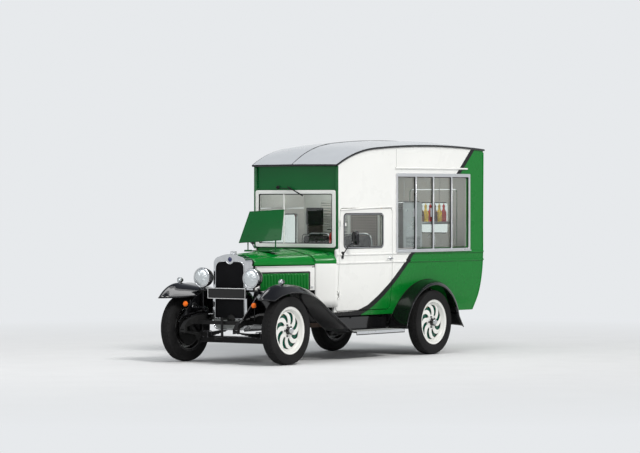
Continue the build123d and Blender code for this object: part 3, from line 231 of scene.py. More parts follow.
def tube(points, radius, sides=12, flat=1.0):
    """A rod along points, with one radius or one for each point; flat squeezes its section across."""
    points = [spot(p) for p in points]
    rings = []
    for i, p in enumerate(points):
        _, e, f = axes(points[min(len(points) - 1, i + 1)] - points[max(0, i - 1)])
        r = radius[i] if isinstance(radius, list) else radius
        rings.append([p + e * (r * math.cos(t)) + f * (r * flat * math.sin(t)) for t in turns(sides)])
    return loft(rings)


def turned(centre, axis, profile, sides, shape=None):
    """Rings of a turned profile of (radius, distance along the axis); shape may change a radius by angle."""
    d, e, f = axes(axis)
    centre = spot(centre)
    rings = []
    for r, h in profile:
        radii = [(t, shape(r, h, t) if shape else max(r, 0.01)) for t in turns(sides)]
        rings.append([centre + d * h + (e * math.cos(t) + f * math.sin(t)) * k for t, k in radii])
    return rings


def lathe(centre, axis, profile, sides=48):
    return loft(turned(centre, axis, profile, sides))


def curve_through(points, per=6):
    """Smooth points through a few, Catmull-Rom."""
    pts = [spot(p) for p in points]
    out = []
    for i in range(len(pts) - 1):
        p0, p1, p2, p3 = pts[max(0, i - 1)], pts[i], pts[i + 1], pts[min(len(pts) - 1, i + 2)]
        for k in range(per):
            t = k / per
            bend = (2 * p0 - 5 * p1 + 4 * p2 - p3) * t * t + (3 * p1 - p0 - 3 * p2 + p3) * t ** 3
            out.append(0.5 * (2 * p1 + (p2 - p0) * t + bend))
    return out + [pts[-1]]


def rounded(u0, u1, z0, z1, r, steps=6):
    """Outline of a rounded rectangle as (u, z)."""
    out = []
    corners = ((u1 - r, z1 - r, 0), (u0 + r, z1 - r, 90), (u0 + r, z0 + r, 180), (u1 - r, z0 + r, 270))
    for cu, cz, a in corners:
        for i in range(steps + 1):
            t = math.radians(a + 90 * i / steps)
            out.append((cu + r * math.cos(t), cz + r * math.sin(t)))
    return out


def grown(box, by, r, steps=6):
    """Outline of a box (u0, u1, z0, z1) made larger all round."""
    return rounded(box[0] - by, box[1] + by, box[2] - by, box[3] + by, r, steps)


def slab(outline, place, low, high):
    """Outline lifted from low to high; place maps (u, z, out) to a point."""
    return loft([[place(u, z, out) for u, z in outline] for out in (low, high)])


def strip(u0, u1, z0, z1, place, low, high):
    """A rectangular slab."""
    return slab([(u0, z0), (u1, z0), (u1, z1), (u0, z1)], place, low, high)


def block(lo, hi):
    """A box between two corners in truck measures."""
    (x0, y0, z0), (x1, y1, z1) = lo, hi
    return loft([[at(x0, y0, z), at(x1, y0, z), at(x1, y1, z), at(x0, y1, z)] for z in (z0, z1)])


def drawn(section, y0, y1, hand=1):
    """A section of (x, z) points drawn along the truck from y0 to y1."""
    return loft([[at(hand * x, y, z) for x, z in section] for y in (y0, y1)])


def sheet(name, grid, mat, thick=4, replaces=(), slot=None):
    """A pressed sheet from rows of points, with its own thickness."""
    verts = [p for row in grid for p in row]
    faces = grid_faces(len(grid), len(grid[0]))
    obj = piece(name, (verts, faces), mat, slot=slot, replaces=replaces, sharp=60)
    mod = obj.modifiers.new("metal", "SOLIDIFY")
    mod.thickness = thick * MM
    mod.offset = 0
    return obj


def placed(origin, xdir, ydir=UP):
    """Matrix in metres whose local x and y lie along two directions at a point."""
    x = Vector(xdir).normalized()
    z = x.cross(Vector(ydir)).normalized()
    m = Matrix((x, z.cross(x), z)).transposed().to_4x4()
    m.translation = origin * MM
    return m


def upright(y, way=1):
    """The place of a plate that stands across the truck."""
    return placed(at(0, y, 0), (way, 0, 0))


def side_place(hand, out):
    """The place of a plate on the side: local x is u, local y is z."""
    return placed(side(0, 0, out, hand), side(METRE, 0, 0, hand) - side(0, 0, 0, hand))


def plate(name, outlines, place, depth, bevel, mat, body="chassis", slot=None, replaces=()):
    """A bevelled plate with holes: outlines are (x, y) lists, place is the matrix of its mid plane."""
    cu = bpy.data.curves.new(name, "CURVE")
    cu.dimensions = "2D"
    cu.fill_mode = "BOTH"
    cu.extrude = max(depth / 2 - bevel, 0.1) * MM
    cu.bevel_depth = bevel * MM
    cu.bevel_resolution = 2
    cu.offset = -bevel * MM
    for line in outlines:
        sp = cu.splines.new("POLY")
        sp.points.add(len(line) - 1)
        for p, (x, y) in zip(sp.points, line):
            p.co = (x * MM, y * MM, 0, 1)
        sp.use_cyclic_u = True
    tmp = bpy.data.objects.new(name + "_curve", cu)
    SCENE.collection.objects.link(tmp)
    me = evaluated(tmp)
    me.name = name
    me.transform(place)
    bpy.data.objects.remove(tmp)
    bpy.data.curves.remove(cu)
    bm = bmesh.new()
    bm.from_mesh(me)
    bmesh.ops.remove_doubles(bm, verts=bm.verts, dist=1e-5)
    bm.to_mesh(me)
    bm.free()
    return wrap(name, me, mat, body, slot, replaces=replaces)


# Materials: lengths in shaders are in metres
def feed(nt, value, socket):
    """Set a socket from a number, a colour or a value of the tree."""
    if isinstance(value, Value):
        nt.links.new(value.socket, socket)
    else:
        socket.default_value = (*value, 1) if isinstance(value, tuple) else value


def calc(nt, op, *values):
    node = nt.nodes.new("ShaderNodeMath")
    node.operation = op
    for socket, value in zip(node.inputs, values):
        feed(nt, value, socket)
    return Value(nt, node.outputs[0])


class Value:
    """A node's output that can be reckoned with; each step is a node."""

    def __init__(self, nt, socket):
        self.nt = nt
        self.socket = socket

    def __add__(self, other):
        return calc(self.nt, "ADD", self, other)

    def __sub__(self, other):
        return calc(self.nt, "SUBTRACT", self, other)

    def __rsub__(self, other):
        return calc(self.nt, "SUBTRACT", other, self)

    def __mul__(self, other):
        return calc(self.nt, "MULTIPLY", self, other)

    def __truediv__(self, other):
        return calc(self.nt, "DIVIDE", self, other)

    def most(self, other):
        return calc(self.nt, "MAXIMUM", self, other)

    def size(self):
        return calc(self.nt, "ABSOLUTE", self)

    def ranged(self, lo, hi, a=0.0, b=1.0):
        """The value's place between lo and hi, from a to b."""
        node = self.nt.nodes.new("ShaderNodeMapRange")
        for socket, value in zip(node.inputs, (self, lo, hi, a, b)):
            feed(self.nt, value, socket)
        return Value(self.nt, node.outputs[0])

    def mixed(self, a, b):
        """Colour a where the value is 0 and b where it is 1."""
        node = self.nt.nodes.new("ShaderNodeMix")
        node.data_type = "RGBA"
        for i, value in ((0, self), (6, a), (7, b)):
            feed(self.nt, value, node.inputs[i])
        return Value(self.nt, node.outputs[2])


def hypotenuse(a, b):
    return calc(a.nt, "SQRT", a * a + b * b)


def material(name):
    m = bpy.data.materials.new(name)
    m.use_nodes = True
    return m, m.node_tree, m.node_tree.nodes["Principled BSDF"]


def settle(nt, bsdf, **values):
    """Set the shader's inputs by name, with an underscore for a space."""
    for key, value in values.items():
        feed(nt, value, bsdf.inputs[key.replace("_", " ")])


def coordinates(nt, kind="Object"):
    tc = nt.nodes.new("ShaderNodeTexCoord")
    sep = nt.nodes.new("ShaderNodeSeparateXYZ")
    nt.links.new(tc.outputs[kind], sep.inputs[0])
    return [Value(nt, s) for s in sep.outputs]


def noise(nt, scale, detail=4.0, rough=0.55, stretch=None):
    tc = nt.nodes.new("ShaderNodeTexCoord")
    n = nt.nodes.new("ShaderNodeTexNoise")
    settle(nt, n, Scale=scale, Detail=detail, Roughness=rough)
    source = tc.outputs["Object"]
    if stretch:
        mp = nt.nodes.new("ShaderNodeMapping")
        mp.inputs["Scale"].default_value = stretch
        nt.links.new(source, mp.inputs[0])
        source = mp.outputs[0]
    nt.links.new(source, n.inputs[0])
    return Value(nt, n.outputs[0])


def bump(nt, bsdf, height, strength, distance):
    n = nt.nodes.new("ShaderNodeBump")
    settle(nt, n, Strength=strength, Distance=distance, Height=height)
    nt.links.new(n.outputs[0], bsdf.inputs["Normal"])


def finish_paint(nt, bsdf, colour, rough, coat=0.6, grime=0.06):
    """Brushed coach paint: faint tone changes, and dust that gathers low down."""
    tone = noise(nt, 1.7, 3).ranged(0.3, 0.7)
    dust = coordinates(nt)[2].ranged(0.85, 0.30) * noise(nt, 7, 5).ranged(0.35, 0.75)
    dark = nt.nodes.new("ShaderNodeHueSaturation")
    settle(nt, dark, Value=1 - grime * 0.7, Color=colour)
    toned = tone.mixed(Value(nt, dark.outputs[0]), colour)
    settle(nt, bsdf, Base_Color=(dust * (grime * 0.9)).mixed(toned, (0.22, 0.19, 0.15)),
           Roughness=noise(nt, 4, 3).ranged(0.3, 0.7, rough * 0.9, rough * 1.1),
           Specular_IOR_Level=0.15, Coat_Weight=coat, Coat_Roughness=0.05)


def paint(name, rgb, rough=0.3, coat=0.6, grime=0.06):
    m, nt, bsdf = material(name)
    finish_paint(nt, bsdf, rgb, rough, coat, grime)
    return m


def metal(name, rgb, rough, wear=0.25, brushed=None):
    m, nt, bsdf = material(name)
    grain = noise(nt, 60 if brushed else 18, 5, 0.6, brushed)
    worn = tuple(c * (1 - wear * 0.5) for c in rgb)
    settle(nt, bsdf, Metallic=1.0, Base_Color=grain.ranged(0.3, 0.7).mixed(rgb, worn),
           Roughness=noise(nt, 7, 5).ranged(0.3, 0.7, rough * 0.75, rough * 1.35))
    bump(nt, bsdf, grain, 0.08, 0.0008)
    return m


def coarse(name, rgb, rough, scale=60, strength=0.25, tone=0.25, distance=0.002):
    """Rubber, leather, plastic or cast metal: mottled tone and a fine grain."""
    m, nt, bsdf = material(name)
    grain = noise(nt, scale, 6, 0.65)
    lighter = tuple(min(1, c * (1 + tone) + 0.006 * tone) for c in rgb)
    settle(nt, bsdf, Base_Color=noise(nt, 5, 5).ranged(0.3, 0.7).mixed(rgb, lighter),
           Roughness=grain.ranged(0.3, 0.7, rough * 0.85, min(1, rough * 1.15)), Specular_IOR_Level=0.15)
    bump(nt, bsdf, grain, strength, distance)
    return m


GREEN = (0.0, 0.172, 0.018)
# The body green darkened as its forward faces look in shade: painted shade, also used on some trim
SHADED_GREEN = (0.0, 0.105, 0.022)
WHITE = (0.84, 0.84, 0.815)
BLACK = (0.004, 0.004, 0.005)
LINING = (0.60, 0.59, 0.56)

green = paint("paint_green", GREEN, 0.25, 0.16)
white = paint("paint_white", WHITE, 0.3, 0.2, 0.05)
gloss_black = paint("paint_black", BLACK, 0.12, 0.6, 0.03)
plate_black = paint("plate_black", (0.005, 0.005, 0.005), 0.3, 0.4, 0.04)
shaded_green = paint("paint_shaded_green", SHADED_GREEN, 0.25, 0.16)
sign_green = paint("paint_sign_green", (0.0, 0.098, 0.018), 0.35, 0.15, 0.04)
roof_paint = paint("roof_paint", (0.47, 0.49, 0.515), 0.22, 0.35, 0.12)
dark_blue = paint("badge_blue", (0.010, 0.016, 0.090), 0.2, 0.6, 0.02)
red_paint = paint("extinguisher_red", (0.52, 0.012, 0.010), 0.3, 0.4, 0.03)
sauce_yellow = paint("sauce_yellow", (0.72, 0.46, 0.02), 0.3, 0.3, 0.02)
sauce_brown = paint("sauce_brown", (0.075, 0.022, 0.010), 0.3, 0.3, 0.02)
chrome = metal("chrome", (0.60, 0.61, 0.62), 0.08)
aluminium = metal("aluminium", (0.70, 0.71, 0.72), 0.36, 0.3, (1, 8, 8))
steel = metal("brushed_steel", (0.55, 0.56, 0.57), 0.32, 0.3, (1, 1, 14))
lens_glass = metal("lamp_lens", (0.58, 0.61, 0.62), 0.20, 0.08)
reflector = metal("lamp_reflector", (0.85, 0.86, 0.88), 0.16, 0.1)
plate_silver = metal("plate_silver", (0.74, 0.74, 0.73), 0.34, 0.2)
dark_metal = metal("dark_metal", (0.10, 0.10, 0.105), 0.42, 0.3)
brass = metal("brass", (0.60, 0.42, 0.15), 0.30, 0.3)
mirror_face = metal("mirror_glass", (0.85, 0.87, 0.88), 0.03, 0.05)
chassis_black = coarse("chassis_black", (0.007, 0.007, 0.007), 0.5, 40, 0.2, 0.8, 0.001)
rubber = coarse("tyre_rubber", (0.0095, 0.0093, 0.0095), 0.8, 90, 0.3, 0.5, 0.0008)
seal = coarse("window_seal", (0.006, 0.006, 0.006), 0.6, 120, 0.15, 0.25, 0.0005)
leather = coarse("seat_leather", (0.022, 0.020, 0.020), 0.42, 260, 0.45, 0.4, 0.0009)
lining = coarse("cabin_lining", (0.60, 0.60, 0.57), 0.45, 30, 0.05, 0.12, 0.0006)
core_black = coarse("radiator_black", (0.002, 0.002, 0.003), 0.55, 200, 0.2, 0.5, 0.0005)
apron_grey = coarse("apron_grey", (0.17, 0.18, 0.175), 0.35, 40, 0.1, 0.2, 0.0008)
orange_lens = coarse("lamp_orange", (0.80, 0.15, 0.012), 0.22, 340, 0.2, 0.2, 0.0006)
red_lens = coarse("lamp_red", (0.42, 0.008, 0.008), 0.2, 340, 0.2, 0.2, 0.0006)
tread_grey = coarse("tread_grey", (0.24, 0.245, 0.24), 0.55, 120, 0.3, 0.3, 0.0006)
rust_metal = coarse("exhaust_metal", (0.10, 0.070, 0.055), 0.75, 60, 0.4, 0.8, 0.001)
headcloth = coarse("head_cloth", (0.30, 0.30, 0.25), 0.9, 500, 0.5, 0.2, 0.0008)
mesh_brown = coarse("mesh_backing", (0.045, 0.036, 0.032), 0.7, 90, 0.2, 0.4, 0.0008)
mesh_metal = coarse("mesh_metal", (0.26, 0.22, 0.195), 0.5, 90, 0.2, 0.2, 0.0006)
wafer = coarse("wafer", (0.62, 0.37, 0.15), 0.75, 90, 0.6, 0.35, 0.0015)
floor_mat = coarse("floor_mat", (0.055, 0.055, 0.055), 0.8, 160, 0.5, 0.3, 0.0012)

clear_glass, glass_tree, glass_shader = material("window_glass")
settle(glass_tree, glass_shader, Base_Color=(0.90, 0.95, 0.92), Roughness=0.02, Transmission_Weight=1.0,
       IOR=1.45)


def rear_livery():
    """Green outside, pale lining on the faces that look into the saloon."""
    m, nt, bsdf = material("rear_livery")
    inward = coordinates(nt, "Normal")[1].ranged(-0.35, -0.45)
    finish_paint(nt, bsdf, inward.mixed(GREEN, LINING), 0.28, 0.16, 0.05)
    return m


# The stripe's two edges as (z, u): white lies ahead of the first and green behind the second
WHITE_EDGE = ((400, 0), (540, 0), (543, 300), (552, 418), (610, 608), (721, 799), (855, 992), (980, 1147),
              (1094, 1284), (1221, 1408), (2402, 2592), (2500, 2690))
GREEN_EDGE = ((400, 400), (504, 507), (541, 608), (607, 742), (718, 915), (853, 1089), (967, 1225),
              (1087, 1363), (1220, 1491), (2397, 2669), (2500, 2772))
EDGE_LOW, EDGE_RISE, EDGE_RUN = 0.4, 2.1, 3.0
BLUR = 0.0006


def stripe_edge(nt, z, points):
    """u of a stripe's edge at the height z."""
    n = nt.nodes.new("ShaderNodeFloatCurve")
    curve = n.mapping.curves[0]
    while len(curve.points) < len(points):
        curve.points.new(0.5, 0.5)
    for knot, (pz, pu) in zip(curve.points, points):
        knot.location = ((pz * MM - EDGE_LOW) / EDGE_RISE, pu * MM / EDGE_RUN)
        knot.handle_type = "VECTOR"
    n.mapping.update()
    feed(nt, (z - EDGE_LOW) / EDGE_RISE, n.inputs["Value"])
    return Value(nt, n.outputs[0]) * EDGE_RUN


def livery():
    """White ahead of the diagonal black stripe, green behind it, black along the foot, lining inside."""
    m, nt, bsdf = material("side_livery")
    x, y, z = coordinates(nt)
    u = (y - (AXLE_Y + SCREEN_Y) * MM) / math.cos(FLARE)
    white_edge = stripe_edge(nt, z, WHITE_EDGE)
    green_edge = stripe_edge(nt, z, GREEN_EDGE)
    is_green = (u - green_edge).ranged(-BLUR, BLUR)
    is_white = (white_edge - u).ranged(-BLUR, BLUR) * z.ranged(0.5435, 0.5445)
    colour = is_white.mixed(is_green.mixed(BLACK, GREEN), WHITE)
    # Depth from the skin decides what is lining
    low = (BELT_Z * MM - z).most(0.0)
    half = calc(nt, "MULTIPLY_ADD", u, math.sin(FLARE), FRONT_HALF * MM)
    depth = (half - low * low * (TUCK / MM)) - x.size()
    colour = depth.ranged(0.020, 0.021).mixed(colour, LINING)
    # The wall's front end shows beside the windscreen and the header, and takes their green with painted
    # shade there
    corner = u.ranged(0.0016, 0.0012).most(u.ranged(0.0240, 0.0235) * depth.ranged(0.020, 0.021))
    colour = (corner * z.ranged(1.2610, 1.2620)).mixed(colour, SHADED_GREEN)
    finish_paint(nt, bsdf, colour, 0.28, 0.16, 0.05)
    return m


def split_by_height(name, low, high, height):
    """Two paints that meet at a height."""
    m, nt, bsdf = material(name)
    colour = coordinates(nt)[2].ranged(height - 0.0005, height + 0.0005).mixed(low, high)
    finish_paint(nt, bsdf, colour, 0.26, 0.16, 0.05)
    return m


def wheel_paint(name, axle):
    """White rim and disc, green behind the slots, dark inside; all by distance from the wheel's own axis."""
    m, nt, bsdf = material(name)
    x, y, z = coordinates(nt)
    out = x.size() - WHEEL_X * MM
    r = hypotenuse(y - (AXLE_Y + axle) * MM, z - TYRE_R * MM)
    behind = out.ranged(0.0095, 0.0085) * r.ranged(0.212, 0.211)
    colour = behind.mixed((0.80, 0.80, 0.77), (0.0, 0.070, 0.042))
    colour = out.ranged(0.0045, 0.0035).mixed(colour, (0.012, 0.012, 0.013))
    finish_paint(nt, bsdf, colour, 0.25, 0.3, 0.06)
    return m


side_paint = livery()
rear_paint = rear_livery()
bonnet_paint = split_by_height("bonnet_paint", WHITE, GREEN, 1.0975)


# CAD nodes that keep their shape: the same solid with softened edges
def dressed(node, mat, width, slot=None, trim=None):
    """The node's own shape with softened edges; trim picks the points that are made again as pieces."""
    src = NODES[node]
    me = src.data.copy()
    me.name = node + "_dressed"
    bm = bmesh.new()
    bm.from_mesh(me)
    bmesh.ops.remove_doubles(bm, verts=bm.verts, dist=1e-5)
    if trim:
        proud = [v for v in bm.verts if trim(src.matrix_world @ v.co / MM)]
        bmesh.ops.delete(bm, geom=proud, context="VERTS")
        open_edges = [e for e in bm.edges if e.is_boundary]
        if open_edges:
            bmesh.ops.holes_fill(bm, edges=open_edges, sides=0)
    bmesh.ops.dissolve_limit(bm, angle_limit=math.radians(0.03), verts=bm.verts, edges=bm.edges)
    bm.to_mesh(me)
    bm.free()
    return bevelled(wrap(node + "_dressed", me, mat, src["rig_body"], slot, replaces=(node,)), width)


def proud_of_side(hand):
    """True for points off the body's side: hinges, handle and mirror."""
    return lambda p: hand * p.x > skin_x(p.y - AXLE_Y, p.z) + 3.5


def coat(node, mat):
    """Give a CAD node its material."""
    NODES[node].data.materials.clear()
    NODES[node].data.materials.append(mat)


for node in NODES:
    coat(node, gloss_black if "fender" in node or "running" in node else chassis_black)
for node in ("windscreen_glass", "service_window_glass", "door_glass_left", "door_glass_right"):
    coat(node, clear_glass)
coat("floor", floor_mat)

for name, hand in HANDS:
    dressed("body_side_" + name, side_paint, 2, trim=proud_of_side(hand))
    dressed("door_" + name, side_paint, 2, trim=proud_of_side(hand))
# The front panel faces forward into shade, and its darker green paints that shade
dressed("front_panel", shaded_green, 2)
for node in ("rear_panel", "rear_door"):
    dressed(node, rear_paint, 3, trim=lambda p: p.y - AXLE_Y > REAR_Y + 4.5)
dressed("windscreen_frame", white, 4)
dressed("roof", roof_paint, 6)
for end, y in AXLES:
    m = wheel_paint("wheel_paint_" + end, y)
    for name, hand in HANDS:
        dressed(f"wheel_{end}_{name}", m, 1.2)

# Body trim: belts, gutters, beads and the roof's seam
DOOR_REAR_U = 1040
DOOR_GAP = 8
ROOF_START = math.radians(26)
ROOF_JOIN = math.radians(26 - 21.6)
ROOF_FRONT_R = 1902
ROOF_TOP_R = 14840
HEADER_Z = 2220


def roof_edge(u):
    """Height of the roof's side edge: the same two arcs as the solid."""
    if u < 0:
        return HEADER_Z + u * math.tan(ROOF_START)
    join_u = ROOF_FRONT_R * (math.sin(ROOF_START) - math.sin(ROOF_JOIN))
    if u < join_u:
        a = math.asin(math.sin(ROOF_START) - u / ROOF_FRONT_R)
        return HEADER_Z + ROOF_FRONT_R * (math.cos(a) - math.cos(ROOF_START))
    join_z = HEADER_Z + ROOF_FRONT_R * (math.cos(ROOF_JOIN) - math.cos(ROOF_START))
    a = math.asin(math.sin(ROOF_JOIN) - (u - join_u) / ROOF_TOP_R)
    return join_z + ROOF_TOP_R * (math.cos(a) - math.cos(ROOF_JOIN))


def crown(u):
    """How far the roof's middle stands above its edge."""
    return 3 + 54 * (1 - math.exp(-max(0, u * math.cos(FLARE)) / 420))


def door_front_u(z):
    return 5 + (z - 548) * 40 / 1164


def along(u0, u1, z, out, hand, steps=24):
    return [side(mixed(u0, u1, i / steps), z, out, hand) for i in range(steps + 1)]


def spots(place, *points):
    return [place(*p) for p in points]


for name, hand in HANDS:
    door, place = "door_" + name, skin(hand)
    for tag, z in BELTS:
        front = door_front_u(z)
        for part, u0, u1, body in (("pillar", -18, front - 2, "chassis"),
                                   ("door", front + DOOR_GAP + 2, DOOR_REAR_U - DOOR_GAP - 2, door),
                                   ("body", DOOR_REAR_U + 2, SIDE_LENGTH - 4, "chassis")):
            belt = tube(along(u0, u1, z, 1.5, hand), 10.5, 12, 1.3)
            piece(f"belt_{tag}_{part}_{name}", belt, side_paint, body)
    rain = curve_through(spots(place, (50, 1703, 4), (300, 1716, 6), (700, 1730, 6), (1030, 1738, 4)))
    piece("rain_moulding_" + name, tube(rain, 9, 10, 0.9), white)
    piece("window_gutter_" + name, tube(along(1087, 2530, 2190, 6, hand), 13.5, 12, 0.8), white)
    seam = spots(place, (1118, 2200, -0.6), (1118, 2300, -0.6), (1118, 2410, -0.6))
    piece("panel_seam_" + name, tube(seam, 1.6, 6), seal)
    drip = [place(u, roof_edge(u) + 6, 9) for u in (mixed(-26, 2884, i / 60) for i in range(61))]
    piece("roof_drip_" + name, tube(drip, 9, 10, 1.35), gloss_black)
    pillar = spots(place, (4, 1270, 1), (4, 1600, 1), (4, 1900, 1), (4, 2210, 1))
    piece("pillar_bead_" + name, tube(pillar, 6, 10), shaded_green)
    corner = curve_through(spots(place, (2873, 2390), (2865, 1600), (2858, 1070), (2809, 731, -tuck(731)),
                                 (2711, 500, -tuck(500))), 8)
    piece("rear_corner_bead_" + name, tube(corner, 7, 10), green)

right, left = (side(-26, roof_edge(-26) + 6, 9, hand) for hand in (-1, 1))
drip = [right.lerp(left, i / 30) + Vector((0, 0, 3 * (1 - (i / 15 - 1) ** 2))) for i in range(31)]
piece("roof_drip_front", tube(drip, 10, 10, 1.2), gloss_black)
seam = [at(-30, SCREEN_Y + u * math.cos(FLARE), roof_edge(u) + 19.5 + crown(u))
        for u in (mixed(-30, 2875, i / 60) for i in range(61))]
piece("roof_seam", tube(seam, 5.5, 8, 0.55), seal)

# Doors: seals, hinges, handles and mirrors
DOOR_WINDOW = (110, 866, 1262, 1670)
HINGES = ((16, 742), (43.5, 1541))
BARREL = [(0, 0), (7, 0), (9, 2), (9, 57), (7, 59), (0, 59)]
BARREL_END = [(0, 0), (7, 0), (9, 2), (9, 18), (6, 20), (0, 20)]
ROSE = [(0, -2), (21, -2), (21, 3), (17, 7), (10, 10), (9, 26), (11, 34), (6, 38), (0, 39)]


def lever_handle(foot, out, rose, points):
    """A round rose with a lever that thins to its tip."""
    lever = curve_through(points, 5)
    radii = [mixed(8.5, 6, i / (len(lever) - 1)) for i in range(len(lever))]
    return [lathe(foot, out, rose, 28), tube(lever, radii, 12, 0.8)]


def door_hinges(name, place):
    """Each hinge has a leaf that turns with the door and two ends on the pillar."""
    axis = (place(43.5, 1541) - place(16, 742)).normalized()
    for i, (u, z) in enumerate(HINGES):
        centre = place(u, z, 14)
        under = -tuck(z) - 2
        strap = [(u + 3, z - 14), (u + 46, z - 10), (u + 54, z), (u + 46, z + 10), (u + 3, z + 14)]
        leaf = [lathe(centre - axis * 29.5, axis, BARREL, 20), slab(strap, place, under, 10)]
        piece(f"hinge_leaf_{name}_{i}", leaf, white, "door_" + name, edge=(1.5,))
        ends = []
        for up in (-1, 1):
            ends.append(lathe(centre + axis * (up * 40.3 - 10), axis, BARREL_END, 20))
            ends.append(strip(u - 28, u, z + up * 40 - 9, z + up * 40 + 9, place, under, 12))
        piece(f"hinge_fixed_{name}_{i}", ends, white, edge=(1.2,))


def door_mirror(name, hand, place, out):
    """A mirror on its bent arm, riding on the door."""
    door = "door_" + name
    arm = curve_through(spots(place, (85, 1200, 8), (86, 1232, 38), (92, 1285, 80), (112, 1325, 112),
                              (150, 1350, 124)), 6)
    boss = lathe(place(85, 1200, 6), out, [(0, 0), (13, 0), (13, 12), (8, 18), (0, 19)], 16)
    base = slab(rounded(69, 101, 1150, 1232, 10), place, -1, 13)
    piece("mirror_arm_" + name, [base, boss, tube(arm, 6.2)], gloss_black, door, edge=(2,))
    centre = place(168, 1385, 125)
    forward = (place(0, 0) - place(1, 0)).normalized()
    look = Matrix.Rotation(hand * math.radians(-12), 3, "Z") @ forward
    across = look.cross(Vector(UP)).normalized()

    def dish(*steps):
        return loft([[centre + across * (a * scale) + Vector((0, 0, b * scale)) + look * push
                      for a, b in rounded(-58, 58, -84, 84, 52, 8)] for scale, push in steps])

    head = dish((0.93, -12), (1, -10), (1, 4), (0.93, 14), (0.78, 21), (0.5, 26), (0.15, 28))
    piece("mirror_head_" + name, head, gloss_black, door)
    piece("mirror_glass_" + name, dish((0.90, -11), (0.90, -13.5), (0.86, -14)), mirror_face, door)


for name, hand in HANDS:
    door, place = "door_" + name, skin(hand)
    plate("door_seal_" + name, [grown(DOOR_WINDOW, 0, 52), grown(DOOR_WINDOW, -24, 34)],
          side_place(hand, 1), 10, 3, seal, door)
    plate("door_window_trim_" + name, [grown(DOOR_WINDOW, -9, 47), grown(DOOR_WINDOW, -16, 42)],
          side_place(hand, 6.5), 3, 1, chrome, door)
    door_hinges(name, place)
    out = (place(0, 0, 1) - place(0, 0)).normalized()
    lever = spots(place, (1002, 1140, 30), (975, 1143, 32), (935, 1141, 33), (900, 1136, 30))
    piece("door_handle_" + name, lever_handle(place(1000, 1140), out, ROSE, lever), chrome, door)
    door_mirror(name, hand, place, out)

# Service window: slim frame with four panes, gaskets, rails, sill and grips
SERVICE = (1104, 2583, 1216, 2130)
MULLIONS = (1483, 1832, 2202)
u0, u1, z0, z1 = SERVICE
edges = [u0 + 24] + [m + d for m in MULLIONS for d in (-10.5, 10.5)] + [u1 - 32]
panes = [(a, b, z0 + 28, z1 - 40) for a, b in zip(edges[::2], edges[1::2])]
plate("service_frame", [grown(SERVICE, 0, 10, 3)] + [grown(pane, 0, 5, 2) for pane in panes],
      side_place(1, 6), 26, 3, aluminium, slot="window_aluminium", replaces=("service_window_frame",))
for i, pane in enumerate(panes):
    lines = [grown(pane, 2, 6, 2), grown(pane, -7, 6, 2)]
    plate(f"service_gasket_{i}", lines, side_place(1, 2), 10, 2, seal)
rails = [strip(u0 + 30, u1 - 36, z - 3.5, z + 3.5, side, 18.5, 21.5) for z in (z0 + 14, z1 - 20)]
rails += [strip(m - 2.5, m + 2.5, z0 + 30, z1 - 42, side, 18.5, 20.5) for m in MULLIONS]
piece("service_window_rails", rails, aluminium, edge=(1, 1))
sill = strip(u0 - 6, u1 + 6, z0 - 10, z0 + 4, side, 0, 30)
piece("service_window_sill", sill, aluminium, edge=(3,))
grips = [slab(rounded(m - 34, m - 20, 1620, 1720, 6), side, -6, 4) for m in MULLIONS[:2]]
piece("service_window_grips", grips, aluminium)

# Windscreen: seal, bar and wiper
SCREEN_BOX = (-524, 524, 1318, 1892)
screen = facing(SCREEN_Y)
plate("windscreen_seal", [grown(SCREEN_BOX, 0, 20), grown(SCREEN_BOX, -12, 14)], upright(SCREEN_Y - 4),
      14, 3, seal)
piece("windscreen_bar", slab(rounded(-169, -153, 1322, 1888, 3), screen, 2, 12), white, edge=(2,))
boss = [(0, 0), (20, 0), (20, 10), (14, 16), (7, 18), (6, 34), (0, 35)]
pivot = lathe(screen(-250, 1965), FORWARD, boss, 20)
arm = tube(spots(screen, (-250, 1965, 28), (-130, 1952, 32), (-20, 1938, 30)), 3.5, 8)
blade = tube(spots(screen, (-100, 1972, 24), (0, 1925, 24), (120, 1866, 24)), 4, 8, 1.8)
piece("windscreen_wiper", [pivot, arm, blade], seal)

# Fenders: sections (x, points), each with two arcs and a straight tail as (y from the axle, z)
FRONT_FENDER = (
    (430, ((-165, 752), (-95, 803), (0, 835), (330, 790), (640, 640), (1120, 340))),
    (550, ((-300, 735), (-205, 815), (-25, 862), (350, 815), (668, 642), (1160, 332))),
    (640, ((-400, 730), (-290, 823), (-45, 880), (358, 828), (690, 645), (1185, 327))),
    (700, ((-480, 730), (-375, 822), (-60, 885), (360, 834), (700, 645), (1200, 327))),
    (755, ((-415, 727), (-320, 803), (-55, 868), (350, 812), (690, 630), (1185, 327))),
    (805, ((-340, 722), (-215, 770), (-30, 800), (320, 768), (660, 600), (1150, 325))),
)
REAR_FENDER = (
    (600, ((-655, 327), (-515, 625), (-15, 880), (375, 760), (530, 460), (595, 330))),
    (750, ((-655, 327), (-515, 620), (-15, 876), (370, 755), (525, 460), (585, 325))),
    (825, ((-660, 327), (-495, 640), (-55, 826), (265, 715), (445, 440), (545, 310))),
)
VALANCE_X = 427
VALANCE_FOOT = ((-470, 470), (-420, 490), (-110, 541), (500, 541), (720, 590))


def arc3(p0, p1, p2, n):
    """n + 1 points on the arc through three, run clockwise."""
    (ax, ay), (bx, by), (cx, cy) = p0, p1, p2
    a2, b2, c2 = ax * ax + ay * ay, bx * bx + by * by, cx * cx + cy * cy
    d = 2 * (ax * (by - cy) + bx * (cy - ay) + cx * (ay - by))
    ux = (a2 * (by - cy) + b2 * (cy - ay) + c2 * (ay - by)) / d
    uy = (a2 * (cx - bx) + b2 * (ax - cx) + c2 * (bx - ax)) / d
    r = math.hypot(ax - ux, ay - uy)
    start, end = math.atan2(ay - uy, ax - ux), math.atan2(cy - uy, cx - ux)
    if end > start:
        end -= 2 * math.pi
    angles = [mixed(start, end, i / n) for i in range(n + 1)]
    return [(ux + r * math.cos(a), uy + r * math.sin(a)) for a in angles]


